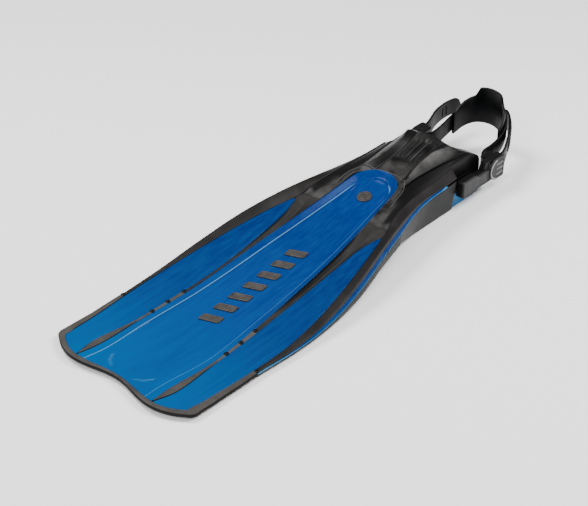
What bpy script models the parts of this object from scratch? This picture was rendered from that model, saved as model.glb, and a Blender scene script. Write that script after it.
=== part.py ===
"""Open-heel swim fin: a stiff blade in panels, elastomer rails and pocket, a swinging buckle-and-strap heel.

Lengths below are in millimetres (MM scales them to metres when a mesh is made).
+Y points to the heel, -Y to the blade tip, +Z up. The origin lies on the sole tread's bottom face.
Paired pieces are built on the +X side and mirrored by SIDES.
"""
import math

import bmesh
import bpy
from mathutils import Matrix, Vector

MM = 0.001
GAP = 0.3                      # clearance that neighbouring pieces keep
SIDES = (("right", 1), ("left", -1))

# ---- blade ----
BLADE_LOW_Y = -345.0           # lowest station of the blade's curve
BLADE_LOW_Z = 4.5
BLADE_RUN = 334.0              # from the lowest station to the foot pocket
BLADE_RISE = 44.2
BLADE_POWER = 1.64             # how late the rise comes
TIP_RUN = 93.0
TIP_LIFT = 4.4
PANEL_T = 3.0
WING_T = 2.6
PANEL_RECESS = 1.5             # the panel's middle lies below its border band
WING_END_Y = -76.0
POCKET_FRONT_Y = -48.0
RIB_START_Y = -432.5
RIB_END_Y = -275.0             # tip rib ends, channel web begins
RIB_T, RIB_CROWN = 3.4, 1.2
WEB_T = 2.0
CHANNEL_DEPTH, CHANNEL_FADE = 6.0, 150.0   # how deep the channel is, and over what length it deepens
RAIL_FRONT_Y = -328.0
STRIPE_END_Y = 62.0
APEX_Y = 19.0                  # rounded rear end of the centre panel
APEX_ROUND = 33.0

# ---- foot pocket and sole ----
SIDE_WALL_END_Y = 83.0
HEEL_WALL_X = 48.4             # pocket's outer half width behind the side wall
SOLE_PLATE_X = 47.0
TREAD_T = 2.2
SOLE_PLATE_Z = 2.5
POCKET_SOLE_Z = 5.8
TREAD_GROOVES = 7
TREAD_GROOVE_Y, TREAD_PITCH = -7.0, 13.0
SCREW_HEAD_X = 43.2            # the post screw's head lies inside the pocket wall
TRAY_X = 52.8
TRAY_WALL = 4.0
TRAY_END_Y = 150.0
TRAY_WALL_TOP = 18.0
TRAY_CORNER_R = 24.0
EAR_Y = (89.0, 121.0)
EAR_TOP = 38.0

# ---- buckle ----
POST_Y, POST_Z = 104.0, 27.0   # the strap assembly swings about this X axis
POST_FLANGE_R, POST_R, POST_HEAD_R = 7.0, 4.0, 6.0
FRAME_X = (55.6, 63.4)
BLOCK_Y, BLOCK_Z = (91.0, 118.0), (15.5, 38.0)
NECK_Y, NECK_Z = (118.0, 146.0), (18.5, 35.5)
CAGE_Y, CAGE_Z = (140.5, 178.0), (15.0, 46.0)
CHEEK_T = 2.5
CROSS_WALL_T = 5.5
COVER_X = (63.7, 67.0)
BAR_X, BAR_Y, BAR_R = 54.0, 161.0, 3.5
BAR_END_R = 2.0
PIN_X, PIN_Y, PIN_R = 61.4, 150.5, 1.2
PIN_Z = 30.5                   # middle height of the lever pin, crossbar and spring
SPRING_W = 15.0
LEVER_X = (63.7, 67.3)
LEVER_Z = (14.5, 44.5)
LEVER_REAR_Y = 179.0
LUG_R = 2.6

# ---- strap ----
STRAP_T = 3.0
STRAP_W = 23.0
STRAP_CHAMFER = 0.7
PAD_T = 4.0
PAD_START_Y = 206.0            # the pad runs along the strap behind this line
PAD_SAG, PAD_ARCH = 26.0, 15.0             # lowest edge at the ends, and its rise to the middle
PAD_TOP, PAD_CROWN, PAD_TAB = 57.0, 25.0, 11.0

# ---- raised bars and badge on the centre panel ----
BAR_COUNT = 7
BARS_Y = (-290.0, -148.0)
BAR_LENGTH, BAR_WIDTH, BAR_LEAN, BAR_HEIGHT = 24.0, 12.0, 4.0, 1.6
BADGE_Y = -24.0
BADGE_R, BADGE_HEIGHT = 9.5, 1.4


def smooth_curve(points):
    """A smooth function through (position, value) points, level beyond the ends."""
    xs = [p[0] for p in points]
    ys = [p[1] for p in points]
    last = len(xs) - 1
    slopes = []
    for i in range(last + 1):
        a, b = max(i - 1, 0), min(i + 1, last)
        slopes.append((ys[b] - ys[a]) / (xs[b] - xs[a]))

    def value(x):
        if x <= xs[0]:
            return ys[0]
        if x >= xs[-1]:
            return ys[-1]
        i = max(k for k in range(last) if xs[k] <= x)
        span = xs[i + 1] - xs[i]
        t = (x - xs[i]) / span
        return ((2 * t ** 3 - 3 * t ** 2 + 1) * ys[i] + (t ** 3 - 2 * t ** 2 + t) * span * slopes[i]
                + (3 * t ** 2 - 2 * t ** 3) * ys[i + 1] + (t ** 3 - t ** 2) * span * slopes[i + 1])

    return value


# Half widths along the blade (y, x).
panel_edge_x = smooth_curve(((-434, 58.3), (-405, 55.6), (-345, 57.6), (-302, 55.4), (-274, 53.2),
                             (-217, 50.2), (-159, 47.2), (-100, 42.2), (-41, 36.2), (-11, 33.4)))
wing_inner_x = smooth_curve(((-434, 59.3), (-405, 65.2), (-345, 60.4), (-285, 58.6), (-241, 57.0),
                             (-196, 56.6), (-150, 57.5), (-105, 59.6), (-76, 66.0)))
rail_inner_x = smooth_curve(((-434, 95.0), (-380, 98.0), (-331, 101.2), (-275, 102.5), (-220, 98.3),
                             (-167, 90.1), (-113, 78.7), (-59, 64.9), (-31, 57.5)))
rail_outer_x = smooth_curve(((-416, 103.4), (-380, 105.6), (-328, 107.5), (-263, 110.5), (-201, 107.3),
                             (-141, 98.4), (-81, 84.8), (-17, 70.2), (19, 64.8), (62, 62.5), (83, 61.5)))
# Heights above the crease line (y, lift).
edge_lift = smooth_curve(((-440, 0.3), (-345, 1.0), (-275, 1.6), (-190, 4.0), (-100, 4.8), (-40, 5.6),
                          (-10, 6.0)))
wing_lift = smooth_curve(((-440, 0.0), (-330, 1.0), (-200, 0.6), (-105, 3.0), (-76, 2.6)))
rail_lift = smooth_curve(((-440, 0.0), (-380, 2.0), (-331, 3.5), (-275, 3.0), (-220, 3.8), (-160, 5.3),
                          (-110, 5.2), (-60, 2.3), (-30, 0.0)))
# Rail heights (y, z).
rail_top_z = smooth_curve(((-328, 8.0), (-263, 10.7), (-201, 21.5), (-141, 35.3), (-81, 46.3), (-17, 51.2),
                           (62, 50.4)))
stripe_low_z = smooth_curve(((-328, 6.2), (-265, 6.0), (-231, 6.6), (-193, 10.5), (-152, 18.0), (-105, 27.0),
                             (-52, 35.0), (-2, 43.0), (62, 44.5)))
rail_low_z = smooth_curve(((-328, 1.0), (-228, 0.8), (-190, 2.0), (-148, 5.2), (-98, 13.4), (-48, 16.8)))


def crease_z(y):
    """Height of the blade along its creases."""
    t = (y - BLADE_LOW_Y) / BLADE_RUN
    if t > 0:
        return BLADE_LOW_Z + BLADE_RISE * t ** BLADE_POWER
    return BLADE_LOW_Z + TIP_LIFT * ((BLADE_LOW_Y - y) / TIP_RUN) ** 2


def tip_line(x, middle, wave, drop, half):
    """The wavy tip edge: a shallow notch at the middle, two lobes, then a drop to the corner at half."""
    lobe = 58.0
    if abs(x) <= lobe:
        return middle - wave * math.sin(math.pi * x / (2 * lobe)) ** 2
    return middle - wave + drop * ((abs(x) - lobe) / (half - lobe)) ** 2


def tip_inner_y(x):
    return tip_line(x, -428.0, 6.5, 15.0, 95.0)


def tip_outer_y(x):
    return tip_line(x, -432.0, 9.0, 18.0, 103.4)


# ---------------------------------------------------------------- mesh helpers

def material(name, colour, roughness, metallic=0.0):
    mat = bpy.data.materials.new(name)
    mat.use_nodes = True
    shader = mat.node_tree.nodes["Principled BSDF"]
    shader.inputs["Base Color"].default_value = (*colour, 1.0)
    shader.inputs["Roughness"].default_value = roughness
    shader.inputs["Metallic"].default_value = metallic
    mat.diffuse_color = (*colour, 1.0)
    return mat


def finish(name, bm, mat, origin=(0.0, 0.0, 0.0)):
    """Turn a bmesh in millimetres into a named object whose origin is at the given point."""
    bmesh.ops.triangulate(bm, faces=bm.faces)
    bmesh.ops.recalc_face_normals(bm, faces=bm.faces)
    if bm.calc_volume(signed=True) < 0:
        bmesh.ops.reverse_faces(bm, faces=bm.faces)
    shift = Matrix.Scale(MM, 4) @ Matrix.Translation(-Vector(origin))
    bmesh.ops.transform(bm, matrix=shift, verts=bm.verts)
    mesh = bpy.data.meshes.new(name)
    bm.to_mesh(mesh)
    bm.free()
    obj = bpy.data.objects.new(name, mesh)
    obj.location = Vector(origin) * MM
    bpy.context.collection.objects.link(obj)
    if mat:
        mesh.materials.append(mat)
    return obj


def loft_bm(rings):
    """A closed bmesh through rings of equal point counts, with both ends capped."""
    bm = bmesh.new()
    rows = [[bm.verts.new(p) for p in ring] for ring in rings]
    count = len(rows[0])
    for row, following in zip(rows, rows[1:]):
        for i in range(count):
            j = (i + 1) % count
            bm.faces.new((row[i], row[j], following[j], following[i]))
    bm.faces.new(rows[0])
    bm.faces.new(list(reversed(rows[-1])))
    bm.normal_update()
    return bm


def loft(name, rings, mat, origin=(0.0, 0.0, 0.0)):
    return finish(name, loft_bm(rings), mat, origin)


def mirrored(rings, side):
    return [[(side * x, y, z) for x, y, z in ring] for ring in rings]


def box_bm(x, y, z):
    """A box between two corners, given as (low, high) pairs."""
    bm = bmesh.new()
    size = Matrix.Diagonal((x[1] - x[0], y[1] - y[0], z[1] - z[0], 1.0))
    centre = Matrix.Translation(((x[0] + x[1]) / 2, (y[0] + y[1]) / 2, (z[0] + z[1]) / 2))
    bmesh.ops.create_cube(bm, size=1.0, matrix=centre @ size)
    return bm


def cylinder_bm(centre, radius, length, axis, segments=24):
    turn = Matrix.Rotation(math.pi / 2, 4, "Y") if axis == "X" else Matrix.Identity(4)
    bm = bmesh.new()
    bmesh.ops.create_cone(bm, cap_ends=True, segments=segments, radius1=radius, radius2=radius, depth=length,
                          matrix=Matrix.Translation(centre) @ turn)
    return bm


def stepped_hole_bm(y, z, steps, segments=24):
    """A cutter along X whose radius changes: steps are (x, radius)."""
    turns = [2 * math.pi * i / segments for i in range(segments)]
    circle = [(math.cos(turn), math.sin(turn)) for turn in turns]
    return loft_bm([[(x, y + r * a, z + r * b) for a, b in circle] for x, r in steps])


def join_bm(parts):
    """One bmesh holding several separate solids."""
    whole = bmesh.new()
    for bm in parts:
        mesh = bpy.data.meshes.new("join")
        bm.to_mesh(mesh)
        bm.free()
        whole.from_mesh(mesh)
        bpy.data.meshes.remove(mesh)
    whole.normal_update()
    return whole


def combine(obj, parts, operation):
    """Apply a Boolean with temporary solids that don't touch each other."""
    tool = finish(obj.name + "_tool", join_bm(parts), None)
    tool.hide_render = True
    tool.display_type = "WIRE"
    modifier = obj.modifiers.new(operation.lower(), "BOOLEAN")
    modifier.operation = operation
    modifier.solver = "EXACT"
    modifier.object = tool
    bpy.context.view_layer.objects.active = obj
    bpy.ops.object.modifier_apply(modifier=modifier.name)
    bpy.data.objects.remove(tool, do_unlink=True)


def turned(name, profile, steps, mat, location, turn_to_x=0):
    """A turned solid: a (radius, height) profile from its top down, spun by a Screw modifier."""
    mesh = bpy.data.meshes.new(name)
    bm = bmesh.new()
    points = [bm.verts.new((r * MM, 0.0, h * MM)) for r, h in profile]
    for a, b in zip(points, points[1:]):
        bm.edges.new((a, b))
    bm.to_mesh(mesh)
    bm.free()
    mesh.materials.append(mat)
    obj = bpy.data.objects.new(name, mesh)
    bpy.context.collection.objects.link(obj)
    screw = obj.modifiers.new("turn", "SCREW")
    screw.steps = steps
    screw.render_steps = steps
    screw.use_merge_vertices = True
    screw.merge_threshold = 1e-5
    obj.location = Vector(location) * MM
    if turn_to_x:
        obj.rotation_euler = (0.0, turn_to_x * math.pi / 2, 0.0)
    return obj


# ---------------------------------------------------------------- blade pieces

BLADE_STATIONS = (-405, -390, -368, -345, -328, -302, -275, -248, -221, -194, -167, -140, -113, -95, -76,
                  -62, -48)


def blade_rows(end_y):
    """Station functions y(x) from the wavy tip to end_y."""
    rows = [tip_inner_y, lambda x: (tip_inner_y(x) + BLADE_STATIONS[0]) / 2]
    rows += [lambda x, y=y: y for y in BLADE_STATIONS if y <= end_y]
    return rows


def strip_ring(points, row, height, thickness):
    """A closed section across the blade: points are half widths, height(x, y) is the top."""
    top = [(x, row(x), height(x, row(x))) for x in points]
    bottom = [(x, y, z - thickness) for x, y, z in reversed(top)]
    return top + bottom


def strip_height(low_x, high_x, low_z, high_z, dip=None):
    """Height between two edge lines, with an optional dip between them."""
    def height(x, y):
        a, b = low_x(y), high_x(y)
        t = min(max((x - a) / max(b - a, 1e-6), 0.0), 1.0)
        z = (1 - t) * low_z(y) + t * high_z(y)
        return z - (dip(y) * math.sin(math.pi * t) if dip else 0.0)
    return height


def crease_x(y, edge):
    """Where the border band begins: 8 mm inside the edge, and a little more towards the tip."""
    return edge - 8.0 - 2.5 * min(max((BLADE_LOW_Y - y) / TIP_RUN, 0.0), 1.0)


def panel_height(x, y):
    """Top of the centre panel: a recessed middle, a step at the crease and a rising border band."""
    edge = panel_edge_x(y)
    band = crease_x(y, edge)
    ax = abs(x)
    sunk = PANEL_RECESS * min(max((y + 400.0) / 80.0, 0.0), 1.0)
    if ax <= band:
        return crease_z(y) - sunk
    return crease_z(y) + edge_lift(y) * min((ax - band) / max(edge - band, 1e-6), 1.0)


def panel_half_widths(y, edge):
    """Section points of the centre panel, from its middle to an edge that narrows round the apex."""
    band = max(crease_x(y, edge), edge * 0.5)
    return [0.0, band * 0.2, band * 0.4, band * 0.6, band * 0.8, band * 0.985, band, (band + edge) / 2, edge]


def panel_rings(rows):
    """Sections of the centre panel from the tip to its rounded rear apex."""
    rings = []
    rows = rows + [lambda x: -30.0, lambda x: -14.0]
    for row in rows:
        y = row(0.0)
        half = panel_half_widths(y, panel_edge_x(y) - GAP)
        points = [-x for x in reversed(half[1:])] + half
        rings.append(strip_ring(points, row, panel_height, PANEL_T))
    round_y = APEX_Y - APEX_ROUND
    for angle in (20, 38, 54, 68, 80):
        y = round_y + APEX_ROUND * math.sin(math.radians(angle))
        edge = (panel_edge_x(round_y) - GAP) * math.cos(math.radians(angle))
        half = panel_half_widths(y, edge)
        widen = panel_edge_x(y) / max(edge, 1e-6)
        points = [-x for x in reversed(half[1:])] + half
        height = lambda x, y, w=widen: panel_height(x * w, y)
        rings.append(strip_ring(points, lambda x, y=y: y, height, PANEL_T))
    return rings


def panel_seat_rings():
    """The room that the panel's rear end needs in the foot pocket, open upward."""
    clear, above = 2 * GAP, 10.0
    rings = []
    for ring in panel_rings([lambda x: POCKET_FRONT_Y - 14.0, lambda x: POCKET_FRONT_Y]):
        edge = max(x for x, _, _ in ring)
        widen = (edge + clear) / edge
        upper = len(ring) // 2
        rings.append([(x * widen, y, z + (above if i < upper else -clear))
                      for i, (x, y, z) in enumerate(ring)])
    rings[-1] = [(x, y + clear, z) for x, y, z in rings[-1]]
    return rings


def spread(low, high, count):
    return [low + (high - low) * i / (count - 1) for i in range(count)]


def wing_rings():
    height = strip_height(wing_inner_x, rail_inner_x, lambda y: crease_z(y) + wing_lift(y),
                          lambda y: crease_z(y) + rail_lift(y), lambda y: 0.6)
    rings = []
    for row in blade_rows(WING_END_Y):
        y = row(75.0)
        points = spread(wing_inner_x(y) + GAP, rail_inner_x(y) - GAP, 7)
        rings.append(strip_ring(points, row, height, WING_T))
    return rings


def slot_rings(start_y, end_y, raised, dip, thickness):
    """Sections of an elastomer strip that fills the slot between the panel and the wing."""
    outer_x = lambda y: wing_inner_x(y) if y <= WING_END_Y else rail_inner_x(y)
    outer_z = lambda y: crease_z(y) + (wing_lift(y) if y <= WING_END_Y else rail_lift(y))
    height = strip_height(panel_edge_x, outer_x, lambda y: crease_z(y) + edge_lift(y), outer_z, dip)
    rings = []
    for y in (start_y, *[s for s in BLADE_STATIONS if start_y < s < end_y], end_y):
        points = spread(panel_edge_x(y) + GAP / 2, outer_x(y) - GAP / 2, 5)
        rings.append(strip_ring(points, lambda x, y=y: y, lambda x, y: height(x, y) + raised, thickness))
    return rings


def tip_trim_rings():
    """Sections of the elastomer edge, from one rail's front end round both corners to the other's."""
    corner_x, corner_y, corner_r = 103.4, -414.0, 12.0
    inner, outer = [], []
    for y in (RAIL_FRONT_Y, -345, -368, -390, -405):
        inner.append((rail_inner_x(y), y))
        outer.append((rail_outer_x(y) - 2.0 * (y < RAIL_FRONT_Y), y))
    for step in range(5):
        angle = math.radians(12 + 18 * step)
        x = corner_x - corner_r + corner_r * math.cos(angle)
        outer.append((x, min(corner_y - corner_r * math.sin(angle), tip_outer_y(x) + 6.0 - 1.5 * step)))
        hold = rail_inner_x(-430)
        inner.append((hold - 0.05 * step, -412.0 - 1.7 * step if step < 4 else tip_inner_y(hold)))
    for x in (84, 76, 67, 58, 50, 40, 30, 20, 10, 0):
        outer.append((float(x) + 0.03 * x, tip_outer_y(x * 1.03)))
        inner.append((float(x), tip_inner_y(x)))
    inner += [(-x, y) for x, y in reversed(inner[:-1])]
    outer += [(-x, y) for x, y in reversed(outer[:-1])]
    rings = []
    for (xi, yi), (xo, yo) in zip(inner, outer):
        away = Vector((xo - xi, yo - yi)).normalized() * 2 * GAP
        xi, yi = xi + away.x, yi + away.y
        zi = crease_z(yi) + rail_lift(yi) * min(abs(xi) / 95.0, 1.0) ** 2 + 0.5
        zo = zi - 0.8
        xm, ym = xi + 0.8 * (xo - xi), yi + 0.8 * (yo - yi)
        rings.append([(xi, yi, zi), (xm, ym, zi), (xo, yo, zo - 0.8), (xo, yo, zi - 4.4), (xm, ym, zi - 5.0),
                      (xi, yi, zi - 4.6)])
    return rings


RAIL_STATIONS = tuple(y for y in BLADE_STATIONS if RAIL_FRONT_Y <= y <= POCKET_FRONT_Y)


def upper_rail_rings():
    rings = []
    for y in RAIL_STATIONS:
        xi, xo = rail_inner_x(y) + GAP, rail_outer_x(y) - 3.6
        zi, zo = crease_z(y) + rail_lift(y), rail_top_z(y)
        low = stripe_low_z(y) + GAP
        rings.append([(xi, y, zi), (xi + 1.2, y, zi + 0.9), (xo, y, zo), (xo, y, low), (xi + 1.0, y, low)])
    return close_front(rings)


def close_front(rings):
    """Keep a gap to the tip trim at the front and to the pocket at the rear."""
    first = [(x, y + GAP, z) for x, y, z in rings[0]]
    last = [(x, y - GAP, z) for x, y, z in rings[-1]]
    return [first] + rings[1:-1] + [last]


def rail_core_rings():
    rings = []
    for y in (*RAIL_STATIONS, -30, -14, 4, 22, 42, STRIPE_END_Y):
        xo = rail_outer_x(y)
        zo, low = rail_top_z(y) - 0.2, stripe_low_z(y) + GAP
        taper = min((STRIPE_END_Y - y) / 18.0, 1.0)
        zo = low + (zo - low) * (0.25 + 0.75 * taper)
        rings.append([(xo - 3.3, y, zo), (xo - 0.8, y, zo), (xo, y, zo - 0.7), (xo, y, low + 0.6),
                      (xo - 0.8, y, low), (xo - 3.3, y, low)])
    first = [(x, y + GAP, z) for x, y, z in rings[0]]
    return [first] + rings[1:]


def lower_rail_rings():
    rings = []
    for y in RAIL_STATIONS:
        xo, top, low = rail_outer_x(y), stripe_low_z(y) - GAP, rail_low_z(y)
        depth = 5.0 + 4.0 * min((y - RAIL_FRONT_Y) / 200.0, 1.0)
        rings.append([(xo - 0.2, y, top), (xo - 1.4, y, low + 1.0), (xo - 3.0, y, low), (xo - depth, y, low),
                      (xo - depth, y, top)])
    return close_front(rings)


def surface_frame(x, y):
    """Place and tilt of a small inlay lying on the centre panel's middle."""
    step = 2.0
    slope = (panel_height(x, y + step) - panel_height(x, y - step)) / (2 * step)
    return Matrix.Translation((x, y, panel_height(x, y))) @ Matrix.Rotation(math.atan(slope), 4, "X")


def raised_bar(index, mat):
    """One slanted oblong of the raised row on the panel."""
    y = BARS_Y[0] + (BARS_Y[1] - BARS_Y[0]) * index / (BAR_COUNT - 1)
    ring = []
    for sx, sy in ((-1, -1), (1, -1), (1, 1), (-1, 1)):
        corner = ((0.75, 1.0), (1.0, 0.75)) if sx * sy < 0 else ((1.0, 0.75), (0.75, 1.0))
        for along, across in corner:
            ring.append((sx * along * BAR_LENGTH / 2, sy * across * BAR_WIDTH / 2 + sx * along * BAR_LEAN))
    levels = ((1.0, GAP), (1.0, BAR_HEIGHT - 0.5), (0.92, BAR_HEIGHT))
    rings = [[(a * scale, b * scale, z) for a, b in ring] for scale, z in levels]
    bm = loft_bm(rings)
    bmesh.ops.transform(bm, matrix=surface_frame(0.0, y), verts=bm.verts)
    return finish(f"raised_bar_{index + 1}", bm, mat)


def badge(mat):
    """A plain round inlay near the panel's apex."""
    bm = bmesh.new()
    lifted = surface_frame(0.0, BADGE_Y) @ Matrix.Translation((0, 0, GAP + BADGE_HEIGHT / 2))
    bmesh.ops.create_cone(bm, cap_ends=True, segments=32, radius1=BADGE_R, radius2=BADGE_R - 0.5,
                          depth=BADGE_HEIGHT, matrix=lifted)
    return finish("badge_inlay", bm, mat)


def build_blade(blue, black, grey):
    loft("center_panel", panel_rings(blade_rows(POCKET_FRONT_Y)), blue)
    loft("tip_trim", tip_trim_rings(), black)
    rib = slot_rings(RIB_START_Y, RIB_END_Y - GAP, 0.4, lambda y: -RIB_CROWN, RIB_T)
    web = slot_rings(RIB_END_Y + GAP, POCKET_FRONT_Y - GAP, -0.4,
                     lambda y: CHANNEL_DEPTH * min((y - RIB_END_Y) / CHANNEL_FADE, 1.0), WEB_T)
    for label, side in SIDES:
        loft(f"wing_panel_{label}", mirrored(wing_rings(), side), blue)
        loft(f"tip_rib_{label}", mirrored(rib, side), black)
        loft(f"channel_web_{label}", mirrored(web, side), black)
        loft(f"upper_rail_{label}", mirrored(upper_rail_rings(), side), black)
        loft(f"rail_core_{label}", mirrored(rail_core_rings(), side), blue)
        loft(f"lower_rail_{label}", mirrored(lower_rail_rings(), side), black)
    for index in range(BAR_COUNT):
        raised_bar(index, grey)
    badge(grey)


# ---------------------------------------------------------------- foot pocket

# Half section of the pocket's outside: each corner line runs along the pocket as (y, x) and (y, z).
top_z = smooth_curve(((-48, 44), (-11, 49.5), (20, 54), (31, 55.5), (45, 60.5), (60, 65), (80, 71), (95, 74),
                      (108, 76)))
valley_x = smooth_curve(((-48, 24), (20, 22), (60, 18.5), (95, 20), (108, 24)))
valley_z = smooth_curve(((-48, 44.5), (-11, 51), (20, 55), (31, 56.5), (60, 63), (80, 68.5), (108, 74)))
crest_x = smooth_curve(((-48, 38), (-11, 34.6), (20, 30), (45, 26.3), (62, 25.6), (80, 26.5), (104, 33.5),
                        (150, 40)))
crest_z = smooth_curve(((-48, 47), (-11, 56), (20, 64), (45, 70), (62, 73), (80, 75.6), (104, 76), (150, 70)))
groove_x = smooth_curve(((-48, 52), (-30, 44), (-11, 37.5), (20, 36.4), (60, 39.5), (82, 41.5), (100, 43.5),
                         (150, 44)))
groove_z = smooth_curve(((-48, 45), (-30, 49), (-11, 55), (20, 60), (60, 62.5), (100, 62.8), (150, 60)))
side_low_x = smooth_curve(((-48, 73), (-30, 66), (-11, 60.5), (5, 57), (83, 56)))
side_low_z = smooth_curve(((-48, 17), (-30, 11), (-11, 4), (5, 1.2), (83, 1.0)))
sole_edge_x = smooth_curve(((-48, 50), (-11, 54), (5, 55), (83, 55)))
sole_edge_z = smooth_curve(((-48, 13), (-30, 5), (-12, 0.5), (-4, 0.0), (83, 0.0)))


def pocket_outer_ring(y):
    """Outer section of the pocket in front of the side wall's end."""
    shoulder_x, shoulder_z = rail_outer_x(y) - 3.6, rail_top_z(y)
    mid_x = (groove_x(y) + shoulder_x) / 2 + 2.0
    mid_z = (groove_z(y) + shoulder_z) / 2 + 2.0
    half = [(valley_x(y) * 0.5, (top_z(y) + valley_z(y)) / 2), (valley_x(y), valley_z(y)),
            (crest_x(y), crest_z(y)), (groove_x(y), groove_z(y)), (mid_x, mid_z), (shoulder_x, shoulder_z),
            (shoulder_x, stripe_low_z(y) - GAP), (rail_outer_x(y) - 0.2, stripe_low_z(y) - GAP),
            (side_low_x(y), side_low_z(y)), (sole_edge_x(y), sole_edge_z(y))]
    return ring_from_half(half, y, top_z(y), sole_edge_z(y))


def heel_outer_ring(y):
    """Outer section of the pocket behind the side wall's end."""
    x = HEEL_WALL_X
    half = [(valley_x(y) * 0.5, (top_z(y) + valley_z(y)) / 2), (valley_x(y), valley_z(y)),
            (crest_x(y), crest_z(y)), (groove_x(y), groove_z(y)), (x - 1.2, groove_z(y) - 3.0),
            (x, groove_z(y) - 8.0),
            (x, 40.0), (x - 0.1, 24.0), (x - 0.4, 10.0), (x - 1.2, SOLE_PLATE_Z + 1.8)]
    return ring_from_half(half, y, top_z(y), SOLE_PLATE_Z + 1.8)


def ring_from_half(half, y, middle_top, middle_low):
    right = [(x, y, z) for x, z in half]
    left = [(-x, y, z) for x, z in reversed(half)]
    return [(0.0, y, middle_top)] + right + [(0.0, y, middle_low)] + left


def cavity_rings():
    """The space for the foot, from the toes out through the open heel."""
    half_width = smooth_curve(((-38, 38), (-15, 44), (10, 45.5), (83, 45), (165, 45)))
    low = smooth_curve(((-38, 18), (-15, 11), (5, 9), (165, 9)))
    high = smooth_curve(((-38, 37), (0, 45), (31, 50), (60, 59.5), (95, 69), (165, 71)))
    rings = []
    for y in (-38, -30, -15, 0, 20, 40, 60, 80, 100, 125, 165):
        w, zb, zt = half_width(y), low(y), high(y)
        zm = min(zt - 3.0, groove_z(y) - 6.0)
        half = [(18.0, zt - 0.5), (31.0, zm), (w - 2.5, zm - 7.0), (w, zm - 13.0), (w, zb + 5.0),
                (w - 5.0, zb)]
        rings.append(ring_from_half(half, y, zt, zb))
    return rings


def opening_rings():
    """Everything above and behind the pocket's opening edge."""
    edge = ((109, 95), (109, 75), (113, 68.5), (124, 61.5), (136, 56), (144, 51), (147.5, 45), (148, 36),
            (146.5, -5), (165, -5), (165, 95))
    rings = []
    for x in (-60, -40, -20, 0, 20, 40, 60):
        bow = 7.0 * min((x / 34.0) ** 2, 1.0)
        rings.append([(x, y - (bow if y < 112 else 0.0), z) for y, z in edge])
    return rings


def build_pocket(black):
    stations = (POCKET_FRONT_Y, -38, -28, -11, 5, 20, 31, 45, 60, 72, SIDE_WALL_END_Y)
    rings = [pocket_outer_ring(y) for y in stations]
    rings += [heel_outer_ring(y) for y in (SIDE_WALL_END_Y + 0.4, 95, 104, 112, 125, 138, 150)]
    pocket = loft("foot_pocket", rings, black)
    combine(pocket, [loft_bm(cavity_rings())], "DIFFERENCE")
    combine(pocket, [loft_bm(opening_rings())], "DIFFERENCE")
    seat = panel_seat_rings()
    recess_x = (-SOLE_PLATE_X - GAP, SOLE_PLATE_X + GAP)
    recess = box_bm(recess_x, (-14.0 - GAP, SIDE_WALL_END_Y + 1.0), (-5.0, POCKET_SOLE_Z))
    below_ears = box_bm((-60, 60), (126.0, 160.0), (0.0, 18.5))
    holes = [cylinder_bm((side * 46.5, POST_Y, POST_Z), 2.0, 8.0, "X") for _, side in SIDES]
    combine(pocket, [loft_bm(seat), recess, below_ears, *holes], "DIFFERENCE")


def tray_outline(inset):
    """Plan of the heel tray: straight sides and a rounded heel end."""
    x, end, r = TRAY_X - inset, TRAY_END_Y - inset, TRAY_CORNER_R - inset
    start = SIDE_WALL_END_Y + 3 * GAP
    points = [(x, start)]
    for step in range(9):
        angle = math.radians(90 * step / 8)
        points.append((x - r + r * math.cos(angle), end - r + r * math.sin(angle)))
    return points + [(-px, py) for px, py in reversed(points)]


def build_sole(blue, black):
    outer, inner = tray_outline(0.0), tray_outline(TRAY_WALL)
    plate = loft("sole_plate", [[(x, y, z) for x, y in outer] for z in (0.0, TRAY_WALL_TOP)], blue)
    inside = [(x, y - (2.0 if y < 84 else 0.0)) for x, y in inner]
    hollow = [[(x, y, z) for x, y in inside] for z in (SOLE_PLATE_Z + 1.4, TRAY_WALL_TOP + 5)]
    combine(plate, [loft_bm(hollow)], "DIFFERENCE")
    plate_y, plate_z = (-14.0, SIDE_WALL_END_Y + 3.0), (SOLE_PLATE_Z, SOLE_PLATE_Z + 1.2)
    added = [box_bm((-SOLE_PLATE_X, SOLE_PLATE_X), plate_y, plate_z)]
    holes = []
    for _, side in SIDES:
        near, far = sorted((side * (TRAY_X - TRAY_WALL + 0.1), side * (TRAY_X - 0.1)))
        added.append(box_bm((near, far), EAR_Y, (TRAY_WALL_TOP - 6.0, EAR_TOP)))
        holes.append(cylinder_bm((side * 51.0, POST_Y, POST_Z), 2.0, 8.0, "X"))
    combine(plate, added, "UNION")
    combine(plate, holes, "DIFFERENCE")
    tread = finish("sole_tread", box_bm((-SOLE_PLATE_X, SOLE_PLATE_X), (-14.0, SIDE_WALL_END_Y - 0.5),
                                        (0.0, TREAD_T)), black)
    lines = [TREAD_GROOVE_Y + index * TREAD_PITCH for index in range(TREAD_GROOVES)]
    combine(tread, [box_bm((-60, 60), (y - 1.2, y + 1.2), (-1.0, 1.0)) for y in lines], "DIFFERENCE")


# ---------------------------------------------------------------- buckle

def build_posts(steel, grey):
    for label, side in SIDES:
        base = TRAY_X + GAP
        profile = [(0.0, 9.4), (POST_HEAD_R, 9.4), (POST_HEAD_R, 7.7), (POST_R, 7.7), (POST_R, 2.2),
                   (POST_FLANGE_R, 2.2), (POST_FLANGE_R, 0.0), (1.7, 0.0), (1.7, 4.0), (0.0, 4.0)]
        turned(f"buckle_post_{label}", profile, 24, grey, (side * base, POST_Y, POST_Z), side)
        screw = [(0.0, 13.0), (1.4, 13.0), (1.4, 1.5), (3.4, 1.5), (3.4, 0.0), (0.0, 0.0)]
        turned(f"post_screw_{label}", screw, 16, steel, (side * SCREW_HEAD_X, POST_Y, POST_Z), side)


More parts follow.
